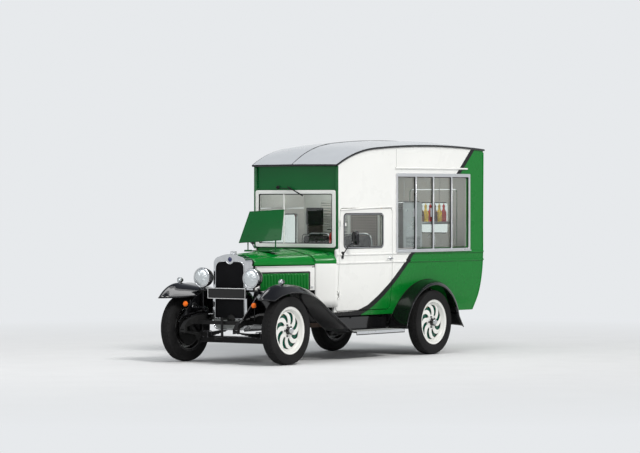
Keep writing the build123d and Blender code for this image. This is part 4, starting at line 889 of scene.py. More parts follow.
def between(a, b, t):
    return tuple(mixed(p, q, t) for p, q in zip(a, b))


def fender_profile(points, n=22, tail=8):
    arcs = arc3(*points[0:3], n) + arc3(*points[2:5], n)[1:]
    return arcs + [between(points[4], points[5], i / tail) for i in range(1, tail + 1)]


def front_grid(hand):
    """Rows across the front fender."""
    cols = [[Vector((x, y, z)) for y, z in fender_profile(pts)] for x, pts in FRONT_FENDER]
    return [[at(hand * p.x, p.y, p.z - 2) for p in curve_through(row, 6)] for row in zip(*cols)]


def rear_point(a, b, c, x):
    """The fender's (y, z) at x: straight between the first two sections, then rounded over to the third."""
    p = between(a, b, max(0, x - 600) / 150) if x <= 750 else b
    g = max(0, min(1, (x - 665) / 160))
    return between(p, c, 1 - math.sqrt(max(0, 1 - g * g)))


def rear_grid(hand):
    """Rows across the rear fender, from the body's skin to its outer edge."""
    rows = []
    for a, b, c in zip(*(fender_profile(pts) for _, pts in REAR_FENDER)):
        inner = skin_x(a[0] + WHEELBASE, a[1]) - 3
        row = []
        for k in range(19):
            x = mixed(inner, 825, math.sin(0.5 * math.pi * k / 18))
            y, z = rear_point(a, b, c, x)
            row.append(at(hand * x, y + WHEELBASE, z - 2))
        rows.append(row)
    return rows


def point_along(points, share):
    """The point at a share of a line's length."""
    legs = list(zip(points, points[1:]))
    left = share * sum(math.dist(a, b) for a, b in legs)
    for a, b in legs:
        length = math.dist(a, b)
        if left <= length:
            return between(a, b, left / length)
        left -= length
    return points[-1]


def valance_rows(hand):
    """Rows from the front fender's inner edge down to the valance's foot."""
    top = [at(hand * VALANCE_X, y, z - 3) for y, z in fender_profile(FRONT_FENDER[0][1])[:45]]
    foot = [at(hand * VALANCE_X, *point_along(VALANCE_FOOT, i / 44)) for i in range(45)]
    return [[p.lerp(q, k / 6) for p, q in zip(top, foot)] for k in range(7)]


def side_lamp(name, hand):
    """A small lamp on the fender's crown."""
    x, y, z = hand * 712, -75, 918
    shape = [(23, 0), (29, 2), (31, 10), (30, 30), (22, 52), (10, 63), (0, 66)]
    pod = lathe((x, y - 32, z), BACKWARD, shape, 32)
    post = lathe((x, y, 880), UP, [(0, 0), (20, 0), (19, 4), (10, 8), (9, 16), (0, 17)], 20)
    piece("side_lamp_" + name, [pod, post], gloss_black, slot="fender_black")
    rim = [(23.5, 3.5), (23.5, -1), (27.5, -3.5), (31.2, 0), (31.8, 6), (30.5, 10), (28, 8)]
    rim = lathe((x, y - 32.5, z), BACKWARD, rim, 36)
    piece("side_lamp_rim_" + name, rim, chrome, slot="radiator_chrome")
    lens = lathe((x, y - 31, z), FORWARD, [(24, -2), (23, 1), (16, 5), (7, 7), (0, 7.5)], 32)
    piece("side_lamp_lens_" + name, lens, lens_glass, slot="window_glass")


for name, hand in HANDS:
    grid = front_grid(hand)
    sheet("front_fender_shell_" + name, grid, gloss_black, replaces=("front_fender_" + name,))
    rim = [row[-1] for row in reversed(grid)] + grid[0][-2::-1]
    piece("front_fender_bead_" + name, tube(rim, 6.5, 10), gloss_black)
    rows = valance_rows(hand)
    sheet("front_valance_" + name, rows, gloss_black, thick=5)
    piece("front_valance_bead_" + name, tube([row[0] for row in rows], 5, 8), gloss_black)
    grid = rear_grid(hand)
    sheet("rear_fender_shell_" + name, grid, gloss_black, replaces=("rear_fender_" + name,))
    piece("rear_fender_bead_" + name, tube([row[-1] for row in grid], 6.5, 10), gloss_black)
    piping = [row[0] + Vector((hand * 4, 0, 3)) for row in grid[3:-3]]
    piece("rear_fender_piping_" + name, tube(piping, 4, 8), seal)
    side_lamp(name, hand)

# Running boards: ribbed tops with bright edges
DECK = [(540, 480), (546, 480), (546, 325), (800, 325), (806, 317), (806, 285), (798, 285), (798, 311),
        (540, 311)]
DECK_EDGE = [(794, 326.5), (806, 326.5), (808.5, 322), (808.5, 296), (806, 296), (806, 323.5), (794, 323.5)]
BOARD_FRONT, BOARD_REAR = 1215, WHEELBASE - 665
for name, hand in HANDS:
    deck = drawn(DECK, BOARD_FRONT, BOARD_REAR, hand)
    piece("running_board_deck_" + name, deck, gloss_black, edge=(3,), replaces=("running_board_" + name,))
    ribs = []
    for i in range(14):
        x = 565 + 15.5 * i
        rib = [(x - 4, 325.5), (x - 2.5, 328.5), (x + 2.5, 328.5), (x + 4, 325.5)]
        ribs.append(drawn(rib, BOARD_FRONT + 12, BOARD_REAR - 12, hand))
    piece("running_board_ribs_" + name, ribs, tread_grey, slot="window_aluminium")
    edge = drawn(DECK_EDGE, BOARD_FRONT, BOARD_REAR, hand)
    piece("running_board_edge_" + name, edge, aluminium, slot="window_aluminium")
    x0, x1 = sorted((hand * 395.3, hand * 546))
    arms = [block((x0, y - 20, 460), (x1, y + 20, 480)) for y in (BOARD_FRONT + 235, BOARD_REAR - 130)]
    piece("running_board_arms_" + name, arms, chassis_black, edge=(3,))

# Bonnet: white sides with a louvred green panel, hinge rods and mouldings
(BONNET_Y0, BONNET_X0), (BONNET_Y1, BONNET_X1) = (35.3, 236), (900, 450)
BONNET_RUN = math.hypot(BONNET_X1 - BONNET_X0, BONNET_Y1 - BONNET_Y0)
BONNET_ALONG = Vector((BONNET_X1 - BONNET_X0, BONNET_Y1 - BONNET_Y0, 0)) / BONNET_RUN
BONNET_OUT = Vector((BONNET_ALONG.y, -BONNET_ALONG.x, 0))
LOUVRES = (95, 800, 812, 998)
LOUVRE_COUNT = 16
LOUVRE_PUSH = 16.5
LOUVRE_RISE = ((6, 0), (10, 0.5), (18, 0.9), (30, 1))
LOUVRE_SECTION = ((-0.38, 0), (-0.34, 0.18), (-0.22, 0.55), (-0.05, 0.88), (0.10, 1), (0.20, 0.97),
                  (0.25, 0.80), (0.265, 0.45), (0.27, 0))
SHOULDER_Z = 1098


def bonnet(hand):
    """The bonnet's side as a place: s back from the radiator, z up, out from the metal."""
    def place(s, z, out=0):
        p = Vector((BONNET_X0, BONNET_Y0, 0)) + BONNET_ALONG * s + BONNET_OUT * out
        return at(hand * p.x, p.y, z)
    return place


def louvres(place):
    """Pressed louvres on their panel, and dark strips behind them that paint the shade in the louvres' open
    slits.
    """
    s0, s1, z0, z1 = LOUVRES
    pitch = (s1 - s0 - 16) / LOUVRE_COUNT
    heights = [(z0 + d, k) for d, k in LOUVRE_RISE] + [(z1 - d, k) for d, k in reversed(LOUVRE_RISE)]
    pressed, slit_shade = [slab(grown(LOUVRES, 0, 4, 2), place, -6, -2)], []
    for i in range(LOUVRE_COUNT):
        s = s0 + 8 + pitch * (i + 0.5)
        rings = [[place(s + pitch * a, z, -2 + LOUVRE_PUSH * k * o) for a, o in LOUVRE_SECTION]
                 for z, k in heights]
        pressed.append(loft(rings, closed=False))
        # A dark strip just past each louvre's open edge: painted shade where the slit opens into the bay
        slit_shade.append(strip(s + pitch * 0.275, s + pitch * 0.52, z0 + 16, z1 - 16, place, -2.2, -1.4))
    return pressed, slit_shade


for name, hand in HANDS:
    body, place = "bonnet_side_" + name, bonnet(hand)
    s0, s1, z0, z1 = LOUVRES
    run = BONNET_RUN
    outline = [(6, 800), (run - 6, 800), (run - 6, 1058), (run - 48, 1058), (run - 48, 1074), (48, 1074),
               (48, 1058), (6, 1058)]
    on_side = [placed(place(0, 0, out), place(METRE, 0) - place(0, 0)) for out in (-2, 2)]
    plate("bonnet_side_panel_" + name, [outline, grown(LOUVRES, 0, 6, 3)], on_side[0], 4, 1.2, white, body,
          "frame_white", (body,))
    border = [rounded(s0 - 16, s1 + 16, z0 - 10, z1 + 16, 14, 4), rounded(s0 - 1, s1 + 1, z0, z1 + 1, 5, 3)]
    plate("bonnet_louvre_border_" + name, border, on_side[1], 8, 3, gloss_black, body, "fender_black")
    pressed, slit_shade = louvres(place)
    # Dark strips in the louvres' slits: painted shade
    piece("bonnet_slits_" + name, slit_shade, seal, body)
    piece("bonnet_louvres_" + name, pressed, green, body, "body_green", sharp=50)
    rod = tube(spots(place, (40, 1073, 4), (run - 40, 1073, 4)), 5)
    piece("bonnet_hinge_rod_" + name, rod, white, body)
    roll = tube(spots(place, (2, 1100), (run - 4, 1100)), 9.5, 12, 1.3)
    piece("bonnet_roll_" + name, roll, green)
    # The sill closes the engine bay below the bonnet side
    rows = [[place(s, z, -12) for s in (10, 250, 500, 720)] for z in (798, 700, 600)]
    sheet("bonnet_sill_" + name, rows, gloss_black, thick=3)
    out = Vector((hand * BONNET_OUT.x, BONNET_OUT.y, 0))
    catches = []
    for s in (60, 840):
        catches.append(lathe(place(s, 835), out, [(0, 0), (12, 0), (12, 4), (6, 6), (6, 14), (0, 15)], 20))
        catches.append(tube(spots(place, (s - 20, 835, 12), (s + 20, 835, 12)), 4, 10))
    piece("bonnet_catches_" + name, catches, chrome, body)
hinge = []
for y in (BONNET_Y0 + 2, 300, 600, BONNET_Y1 - 4):
    hinge.append((0, y, mixed(1212, 1258, (y - BONNET_Y0) / (BONNET_Y1 - BONNET_Y0)) + 1))
piece("bonnet_centre_hinge", tube(hinge, 6), green)


def arch(w, side_z, middle_z, n=14):
    """The bonnet's section from side to side as (x, z): rounded shoulders under a flatter top."""
    shoulder = (middle_z - side_z) * 0.62
    turn, crest = side_z + shoulder * 0.72, side_z + shoulder
    left = arc3((-w, side_z), (-w * 0.93, turn), (-w * 0.72, crest), n)
    top = arc3((-w * 0.72, crest), (0, middle_z), (w * 0.72, crest), 2 * n)
    right = arc3((w * 0.72, crest), (w * 0.93, turn), (w, side_z), n)
    return left + top[1:] + right[1:]


def shell(sections, steps, low, inset=2):
    """Rows through sections of (y, half width, side height, middle height), with skirts down to low."""
    rows = []
    for (y0, *a), (y1, *b) in zip(sections, sections[1:]):
        pa, pb = (arch(w - inset, edge, top - inset) for w, edge, top in (a, b))
        for i in range(steps + (y1 == sections[-1][0])):
            t = i / steps
            line = [at(mixed(p[0], q[0], t), mixed(y0, y1, t), mixed(p[1], q[1], t)) for p, q in zip(pa, pb)]
            foot = Vector((line[0].x, line[0].y, low))
            skirt = [line[0].lerp(foot, k / 6) for k in range(6, 0, -1)]
            rows.append(skirt + line + [Vector((-p.x, p.y, p.z)) for p in reversed(skirt)])
    return rows


NOSE = (BONNET_Y0, BONNET_X0, SHOULDER_Z, 1212)
TAIL = (BONNET_Y1 - 3, BONNET_X1, SHOULDER_Z, 1258)
SCUTTLE = ((BONNET_Y1 + 0.3, BONNET_X1, SHOULDER_Z, 1258), (SCREEN_Y - 20.3, FRONT_HALF - 1, 1135, 1261),
           (SCREEN_Y - 0.6, FRONT_HALF - 0.3, 1140, 1262))
sheet("bonnet_shell", shell((NOSE, TAIL), 20, 1085), green, replaces=("bonnet_top",), slot="body_green")
sheet("scuttle_shell", shell(SCUTTLE, 12, 602), bonnet_paint, replaces=("scuttle",), slot="frame_white")
LEDGE_X = 560.5
brow = [(x, z) for x, z in arch(FRONT_HALF - 2.3, 1140, 1260) if abs(x) < LEDGE_X]
ledge = [[at(x, y, z) for x, z in brow] for y in (SCREEN_Y - 0.6, SCREEN_Y + 18)]
sheet("scuttle_ledge", ledge, green)
brow += [(LEDGE_X, 1265.5), (-LEDGE_X, 1265.5)]
plate("scuttle_back", [brow], upright(SCREEN_Y + 18), 4, 0.5, green)
for name, hand in HANDS:
    pins = [spots(bonnet(hand), (s, 1073, 4), (s + 20, 1073, 4)) for s in (19, BONNET_RUN - 39)]
    piece("bonnet_knuckles_" + name, [tube(pin, 5) for pin in pins], white)
half = BONNET_X1 - 4
line = arch(half, SHOULDER_Z, 1254) + [(half, 604), (-half, 604)]
plate("firewall", [line], upright(BONNET_Y1 + 5), 5, 0.5, chassis_black)
dash = [block((-518, 1066, 1042), (518, 1094, 1218)), block((-440, 906, 597), (440, 1139, 615)),
        block((-353, 955, 612), (-307, 1028, 724))]
piece("dashboard", dash, shaded_green, edge=(8, 3))
for name, y, half, top, r in (("front_bead", BONNET_Y0 + 1, BONNET_X0, 1212, 4),
                              ("rear_lacing", BONNET_Y1 - 0.8, BONNET_X1, 1258, 2.8)):
    rim = [(x, y, z + 0.5) for x, z in arch(half, SHOULDER_Z, top)]
    piece("bonnet_" + name, tube(rim, r, 8), seal)

# Radiator: bright shell with a dark core behind a fine grille, apron, cap and handle bracket
dressed("radiator", chrome, 6, "radiator_chrome")
rad = facing(-95)
BRIGHT = "radiator_chrome"


def mirrored_line(points):
    """A line of (x, z) carried on by its mirror image; a last point on the middle is kept once."""
    return points + [(-x, z) for x, z in reversed(points) if x]


def mesh_outline(inset):
    h, top, low = 198 - inset, 1135 - inset, 500 + inset
    return mirrored_line([(-h - 10, low), (-h, top - 55), (-h + 8, top - 34), (-h + 22, top - 16),
                          (-h + 40, top - 4), (-h + 60, top), (-55, top + 4), (-40, top - 10),
                          (-20, top - 23), (0, top - 27)])


def wire_top(x):
    """Height where an upright wire meets the shell."""
    return 1080 if abs(x) > 180 else 1106 if abs(x) < 30 else 1128


piece("radiator_core", slab(mesh_outline(1), rad, -15.5, -11), core_black, slot="engine_grey")
wires = []
for i in range(-25, 26):
    x = 7.8 * i
    wires.append(strip(x - 1.1, x + 1.1, 503, wire_top(x), rad, -11, -8.5))
for i in range(54):
    z = 512 + 11.2 * i
    half = 200 if z < 1070 else 190
    wires.append(strip(-half, half, z - 0.9, z + 0.9, rad, -9.5, -7.2))
piece("radiator_grille", wires, core_black, slot="engine_grey")
plate("radiator_lip", [mesh_outline(-4), mesh_outline(5)], upright(-95), 12, 3, chrome, slot=BRIGHT)
apron = mirrored_line([(-222, 490), (-216, 450), (-205, 418), (-180, 394), (-145, 386)])
piece("radiator_apron", slab(apron, rad, -2, 2.5), apron_grey, edge=(2,))
foot = mirrored_line([(-241, 480), (-236, 440), (-222, 410), (-190, 381), (-153, 372)])
piece("radiator_foot_rim", tube([rad(x * 0.985, z + 4, 1) for x, z in foot], 7, 10), chrome, slot=BRIGHT)
cap = [(0, 0), (40, 0), (40, 6), (34, 9), (34, 28), (30, 35), (14, 38), (0, 39)]
cap = lathe((0, -30, 1214), UP, cap, 40)
wings = tube([(-30, -30, 1244), (30, -30, 1244)], 6, 10)
piece("radiator_cap", [cap, wings], chrome, slot=BRIGHT)
badge = lathe(rad(0, 1158, -1), FORWARD, [(0, 0), (27, 0), (27, 3), (22, 6), (0, 7)], 36)
piece("radiator_badge_blank", badge, dark_blue)
disc = [(0, 0), (52, 0), (54, 4), (50, 14), (36, 20), (30, 26), (18, 30), (16, 60), (0, 61)]
piece("starting_handle_bracket", lathe(rad(20, 492), FORWARD, disc, 36), chassis_black)

# Head lamps, bar, horn and indicators
LAMP_X, LAMP_Y, LAMP_Z = 345, -171, 954
BAR_Y, BAR_Z, BAR_END = -107.3, 812, 419.5
BOWL = [(98, 4), (108, 8), (112, 18), (110, 45), (103, 80), (90, 112), (66, 142), (34, 159), (0, 164)]
RIM = [(95, 4), (97.5, -1), (104, -3), (109.5, 0), (112.5, 8), (112.5, 18), (110, 22), (100, 14)]
DISH = [(97, 6), (85, 26), (65, 50), (40, 68), (12, 76), (0, 76)]
BULB = [(0, 0), (11, 3), (14, 14), (10, 26), (0, 30)]
LENS = ((97, 4), (92, 0), (80, -4), (60, -8), (40, -10.5), (20, -12), (0.5, -12.5))
STALK = [(0, 0), (19, 0), (19, 12), (11, 20), (11, 40), (18, 46), (22, 56), (14, 66), (0, 66)]
BAR_CAP = [(0, 0), (24, 0), (24, 6), (16, 12), (0, 12)]


def fluted_lens(c):
    """A lamp's glass with upright flutes."""
    rings = []
    for r, push in LENS:
        ring = []
        for a in turns(128):
            x = r * math.cos(a)
            flute = 1.1 * math.cos(2 * math.pi * x / 9.5) * (1 if r > 30 else 0.3)
            ring.append(c + Vector((x, push + flute, r * math.sin(a))))
        rings.append(ring)
    return loft([[p + Vector((0, 4, 0)) for p in rings[0]]] + rings)


bar = [tube([(-BAR_END, BAR_Y, BAR_Z), (BAR_END, BAR_Y, BAR_Z)], 11.5, 16)]
bowls, rims, dishes, lenses = [], [], [], []
for hand in (-1, 1):
    c = at(hand * LAMP_X, LAMP_Y, LAMP_Z)
    bowls.append(lathe(c, BACKWARD, BOWL, 56))
    rims.append(lathe(c, BACKWARD, RIM, 64))
    dishes.append(lathe(c, BACKWARD, DISH, 48))
    dishes.append(lathe(c + Vector((0, 45, 0)), BACKWARD, BULB, 20))
    lenses.append(fluted_lens(c))
    bar.append(lathe((hand * LAMP_X, BAR_Y, 806), UP, STALK, 24))
    bar.append(lathe((hand * BAR_END, BAR_Y, BAR_Z), (-hand, 0, 0), BAR_CAP, 20))
piece("lamp_bar", bar, gloss_black, slot="fender_black", replaces=("headlamps",))
for name, shapes, mat, slot in (
        ("bowls", bowls, gloss_black, "fender_black"), ("rims", rims, chrome, BRIGHT),
        ("reflectors", dishes, reflector, BRIGHT), ("lenses", lenses, lens_glass, "window_glass")):
    piece("lamp_" + name, shapes, mat, slot=slot, sharp=50)
HORN = at(-367, -270, 650)
HORN_AXIS = Vector((7, 270, -75)).normalized()
trumpet = [(20, 20), (26, 8), (31, 1), (34, -1), (35, 2), (31, 8), (24, 22), (16, 45), (12.5, 90), (12, 140),
           (16, 152), (29, 166), (31, 176), (31, 216), (28, 228), (12, 236), (0, 237)]
hanger = tube([(-367, BAR_Y, 805), (-366, BAR_Y, 700), (-366, BAR_Y, 622)], 7)
piece("horn", [lathe(HORN, HORN_AXIS, trumpet, 40), hanger], gloss_black, slot="fender_black")
# A matte black disc at the bottom of the bell: painted shade in the horn's deep throat
throat_shade = lathe(HORN + HORN_AXIS * 20, HORN_AXIS, [(0, 0), (19, 0), (19, 2), (0, 2)], 24)
piece("horn_throat", throat_shade, seal)
INDICATOR_LENS = [(0, 6), (28.5, 6), (29.5, 12), (29, 22), (25, 32), (16, 37.5), (0, 38.5)]
INDICATOR_BASE = [(0, -2), (20, -1), (29, 3), (30.5, 8), (30.5, 13), (29, 13)]
for name, hand in HANDS:
    c = at(hand * 479, -268, 660)
    lens = lathe(c, FORWARD, INDICATOR_LENS, 40)
    piece("indicator_lens_" + name, lens, orange_lens, slot="lamp_orange")
    x0, x1 = sorted((hand * 395.5, hand * 460))
    stay = [lathe(c, FORWARD, INDICATOR_BASE, 40),
            tube([(hand * 450, -235, 492), (hand * 450, -235, 705)], 5.5),
            block((x0, -245, 490), (x1, -225, 500)),
            tube([(hand * 450, -237, 660), (hand * 466, -252, 660), (hand * 479, -268, 660)], 4.5, 10)]
    piece("indicator_stay_" + name, stay, gloss_black, slot="chassis_black", replaces=("indicator_" + name,))


# Plates: bare, with bright borders
def bare_plate(name, face_y, way, low_z, depth, border, border_depth, replaces=()):
    """A bare plate; border is the y of its bright edge's mid plane."""
    box = (-262, 262, low_z, low_z + 117)
    low, high = depth
    shape = slab(grown(box, 0, 6, 3), facing(face_y, way), low, high)
    piece(name, shape, plate_black, slot="plate_black", edge=(1, 1), replaces=replaces)
    lines = [rounded(-264, 264, low_z - 1.5, low_z + 118.5, 8, 3),
             rounded(-257, 257, low_z + 5.5, low_z + 111.5, 4, 3)]
    plate(name + "_border", lines, upright(border), border_depth, 1, plate_silver, slot="window_aluminium")


bare_plate("front_plate", -155, -1, 722.5, (-3, 3), -158.5, 4, ("number_plate",))
piece("front_plate_bracket", block((-30, -152, 803), (30, -120, 822)), chassis_black, edge=(2, 1))

# Wheels: nuts, hub, cap and valve over the slotted disc, and tyres with ribs and tread
TREAD_HALF = 56
SIDEWALL_RINGS = ((0.30, 0.035), (0.80, 0.03), (0.90, 0.03))
HUB = [(0, 27.5), (46, 27.5), (46, 34), (41.5, 38), (41.3, 62.5), (38, 64.5), (0, 64.5)]
HUB_CAP = [(0, 64), (33.5, 64), (34, 68), (32.5, 80), (27, 86.5), (14, 88.5), (0, 88.6)]
NUT = [(0, 27.5), (12.5, 27.5), (12.5, 29.5), (10.5, 30), (10.5, 40), (8.5, 42), (5, 42), (5, 47), (0, 48)]


def tyre_profile():
    """From bead to bead round the outside, with raised rings on the sidewalls."""
    half, rim, flank = 70, 263.5, 54.5
    wall = []
    for i in range(19):
        t = i / 18
        bulge = math.sin(math.pi * min(1, 0.10 + 0.86 * t)) ** 0.55
        ring = max(1.2 * max(0, 1 - ((t - centre) / width) ** 2) for centre, width in SIDEWALL_RINGS)
        x = min(half, flank + (half - flank) * bulge)
        wall.append((rim + 1 + (370.5 - rim) * t, x - (1.4 - ring if 0.2 < t < 0.95 else 0)))
    tread = []
    for i in range(53):
        x = TREAD_HALF - 2 * TREAD_HALF * i / 52
        tread.append((TYRE_R - 8.5 * (abs(x) / TREAD_HALF) ** 2, x))
    inner = [(252.8, -46.2), (242.8, -46.2), (242.8, 46.2), (252.8, 46.2)]
    return wall + tread + [(r, -x) for r, x in reversed(wall)] + inner


def tread_shape(r, h, t):
    """Zigzag grooves round the tread and short cuts at its shoulders."""
    if abs(h) > TREAD_HALF + 0.5 or r < 366:
        return r
    phase = (t * 46 / (2 * math.pi)) % 1
    zig = 3.5 * (abs(phase - 0.5) * 4 - 1)
    cut = max(1 - abs(h - centre - zig) / 3.4 for centre in (-30, -10, 10, 30))
    if abs(h) > 40 and phase < 0.16:
        cut = 1
    return r - 6.2 * min(1, max(0, cut) * 2.2)


def wheel(tag, body, c, hand):
    out = (hand, 0, 0)

    def around(a, r, x=0):
        return c + Vector((hand * x, r * math.cos(a), r * math.sin(a)))

    tyre = hoop(turned(c, out, tyre_profile(), 276, tread_shape))
    piece("tyre_tread_" + tag, tyre, rubber, body, "tyre_rubber", sharp=42, replaces=("tyre_" + tag,))
    piece("hub_" + tag, lathe(c, out, HUB, 40), gloss_black, body)
    piece("hub_cap_" + tag, lathe(c, out, HUB_CAP, 40), chrome, body, BRIGHT)
    nuts = [lathe(around(2 * math.pi * (k + 0.5) / 5, 63), out, NUT, 6) for k in range(5)]
    piece("wheel_nuts_" + tag, nuts, dark_metal, body, edge=(0.8, 1))
    foot, tip = around(2.2, 226, 30), around(2.2, 216, 52)
    valve = [tube([foot, foot.lerp(tip, 0.55)], 4.5, 10), tube([foot.lerp(tip, 0.5), tip], 3.3, 10)]
    piece("valve_" + tag, valve, brass, body)


for end, y in AXLES:
    for name, hand in HANDS:
        wheel(f"{end}_{name}", f"wheel_{end}_{name}", at(hand * WHEEL_X, y, TYRE_R), hand)

# Running gear: softened solids, spring clamps and the exhaust
for node in ("front_axle", "rear_axle", "knuckle_left", "knuckle_right", "chassis_frame"):
    dressed(node, chassis_black, 2.5)
dressed("tie_rod", steel, 2)
for node in ("spring_front_left", "spring_front_right", "spring_rear_left", "spring_rear_right",
             "starting_handle"):
    dressed(node, chassis_black, 1.2)
clamps = []
for x0, y0, z0, z1 in ((370, -30, 285, 352), (470, WHEELBASE, 275, 345)):
    for x in (-x0, x0):
        for y in (y0 - 32, y0 + 32):
            for dx in (-30, 30):
                clamps.append(tube([(x + dx, y, z0), (x + dx, y, z1)], 5, 10))
                clamps.append(lathe((x + dx, y, z0 - 4), UP, [(0, 0), (9, 0), (9, 10), (0, 10)], 6))
            clamps.append(tube([(x - 30, y, z1), (x + 30, y, z1)], 5, 10))
piece("spring_clamps", clamps, dark_metal)
pipe = curve_through([(-190, 620, 520), (-200, 800, 440), (-220, 1050, 395), (-230, 1450, 385)])
pipe_tail = curve_through([(-230, 1980, 385), (-240, 2300, 400), (-260, 2620, 505), (-270, 2900, 520),
                           (-280, 3300, 430), (-290, 3780, 405)])
silencer = lathe((-230, 1440, 385), BACKWARD, [(0, 0), (52, 0), (60, 6), (60, 20), (57, 24), (57, 516),
                                               (60, 520), (60, 534), (52, 540), (0, 540)], 32)
piece("exhaust", [tube(pipe, 19, 16), tube(pipe_tail, 17, 16), silencer], rust_metal)

# Bonnet sign: edged board on thin brackets, left bare
SIGN_UP = Vector((0, 120, 370)).normalized()
SIGN_BACK = Vector((0, 370, -120)).normalized()
SIGN_X = (1, 0, 0)
BOARD = [(-308, 0), (278, 38), (240, 400), (-240, 375)]
EDGE_OUT = [(-295, 13), (267, 49), (231, 390), (-232, 366)]
EDGE_IN = [(-291, 17), (263, 53), (228, 386), (-229, 362)]
STUD = [(0, 0), (8, 0), (7, 3), (4, 5), (0, 5.5)]


def on_sign(x, up, back):
    """A point on the board: up from its foot, back behind its face."""
    return at(x, 480, 1330) + SIGN_UP * up + SIGN_BACK * back


plate("bonnet_sign_board", [BOARD], placed(on_sign(0, 0, -7), SIGN_X, SIGN_UP), 14, 3, sign_green,
      replaces=("bonnet_sign",))
plate("bonnet_sign_edge", [EDGE_OUT, EDGE_IN], placed(on_sign(0, 0, -14.2), SIGN_X, SIGN_UP), 1.2, 0.3,
      shaded_green)
stays = []
for x in (-195, 195):
    rise = [at(x, 494, 1250), at(x, 494, 1325), on_sign(x, 35, 4), on_sign(x, 330, 4)]
    stays.append(tube(rise, 9.5, 8, 0.42))
    stays += [lathe(on_sign(x, up, -14), -SIGN_BACK, STUD, 16) for up in (90, 250)]
    stays.append(block((x - 20, 450, 1246), (x + 20, 545, 1256)))
piece("bonnet_sign_stays", stays, sign_green, edge=(1.5, 1))
piece("bonnet_sign_plinth", block((-215, 445, 1236), (215, 555, 1250)), sign_green, edge=(3,))


# Cabin: headlining, partition with louvres and mesh, counter, machine and freezer
def under_roof(u, drop, inset):
    """Points across the cabin, drop below the roof and inset from the side walls."""
    half = FRONT_HALF + u * math.sin(FLARE) - WALL - inset
    y, edge = SCREEN_Y + u * math.cos(FLARE), roof_edge(u) - drop
    return [at(half * t, y, edge + crown(u) * (1 - t * t)) for t in (k / 8 - 1 for k in range(17))]


rows = [under_roof(40 + (SIDE_LENGTH - 90) * i / 24, 6, 4) for i in range(25)]
sheet("headlining", rows, headcloth, thick=3)
ribs = [tube(under_roof(u, 12, 6), 8, 8) for u in (450, 950, 1450, 1950, 2450)]
piece("roof_hoops", ribs, lining)

PARTITION_Y = 2050
bulkhead = facing(PARTITION_Y)
louvre_hole = rounded(-300, 80, 1210, 1800, 10, 3)
mesh_hole = rounded(120, 510, 1210, 1800, 10, 3)
LEAF = ((0, -12), (13, 6), (19, 6), (5, -14))
plate("partition", [rounded(-540, 540, 627, 2125, 12, 3), louvre_hole, mesh_hole], upright(PARTITION_Y + 10),
      20, 2, lining, replaces=("serving_counter",), slot="frame_white")
leaves = []
for z in (1226 + 30.5 * i for i in range(19)):
    leaves.append(loft([[bulkhead(x, z + dz, o) for dz, o in LEAF] for x in (-298, 78)]))
piece("partition_louvres", leaves, lining, slot="frame_white")
piece("partition_mesh_back", slab(mesh_hole, bulkhead, -19, -16), mesh_brown)
bars = [strip(x - 7.5, x + 7.5, 1212, 1798, bulkhead, -12, -10) for x in (128 + 31.2 * i for i in range(13))]
for z in (1222 + 31.2 * i for i in range(19)):
    bars.append(strip(122, 508, z - 7.5, z + 7.5, bulkhead, -10.5, -8.5))
piece("partition_mesh", bars, mesh_metal)
battens = [tube(spots(bulkhead, (x, 660, 4), (x, 1160, 4)), 6, 8) for x in (300, -300)]
piece("partition_battens", battens, lining)
locker = slab(rounded(-478, -262, 1525, 1728, 12, 3), bulkhead, 0, 52)
piece("cab_locker", locker, seal, edge=(3,))
flap = slab(rounded(-472, -268, 1335, 1523, 8, 3), bulkhead, 0, 46)
piece("cab_locker_flap", flap, mesh_brown, edge=(3,))

# Counter: white doors under a steel top with a raised lip
piece("counter_cabinet", block((250, 2075, 680), (535, 3565, 1150)), lining, slot="frame_white", edge=(4,))
piece("counter_plinth", block((270, 2085, 627), (530, 3555, 682)), seal)
doors, pulls = [], []
for y in (2085 + 369 * i for i in range(4)):
    doors += [block((240, y + 6, z0), (251, y + 360, z1)) for z0, z1 in ((700, 1010), (1022, 1135))]
    for z in (1078, 965):
        grip = ((241, 130), (224, 134), (222, 150), (222, 216), (224, 232), (241, 236))
        pulls.append(tube([(x, y + dy, z) for x, dy in grip], 4, 10))
piece("counter_doors", doors, lining, slot="frame_white", edge=(3,))
piece("counter_pulls", pulls, chrome)
top_line = [(232, 1152), (232, 1180), (238, 1186), (530, 1186), (535, 1215), (541, 1215), (545, 1180),
            (545, 1152)]
piece("counter_top", drawn(top_line, 2071, 3570), steel, edge=(2,))
spout = curve_through([(515, 3230, 1186), (515, 3230, 1360), (490, 3230, 1410), (440, 3230, 1410),
                       (425, 3230, 1360)])
sink = [block((300, 3060, 1184), (500, 3400, 1190)), tube(spout, 8.5, 14),
        lathe((515, 3230, 1186), UP, [(0, 0), (22, 0), (22, 6), (12, 14), (0, 14)], 24)]
piece("counter_sink", sink, chrome, edge=(2,))


def flank(x):
    """An upright plane along the truck as a place for outlines."""
    return lambda y, z, out=0: at(x + out, y, z)


# Soft-serve machine: steel case, hopper lid, drip tray, nozzle block and two levers
case = [(300, 1200), (300, 1770), (318, 1792), (552, 1792), (558, 1770), (558, 1200)]
piece("machine_case", drawn(case, 2515, 2905), steel, edge=(8, 3))
foot = [(0, 0), (20, 0), (18, 16), (0, 16)]
hat = [block((325, 2540, 1790), (540, 2880, 1802))]
hat += [lathe((x, y, 1186), UP, foot, 16) for x in (325, 535) for y in (2540, 2880)]
piece("machine_lid", hat, gloss_black, edge=(3,))
piece("machine_tray", block((262, 2560, 1225), (302, 2860, 1250)), steel, edge=(3,))
face = [block((292, 2590, 1500), (301, 2830, 1735)), block((270, 2630, 1440), (300, 2790, 1560))]
piece("machine_face", face, lining, slot="frame_white", edge=(4,))
NOZZLE = [(0, 0), (17, 0), (15, 20), (10, 36), (0, 36)]
KNOB = [(0, 0), (8, 2), (11, 16), (9, 34), (0, 40)]
levers = []
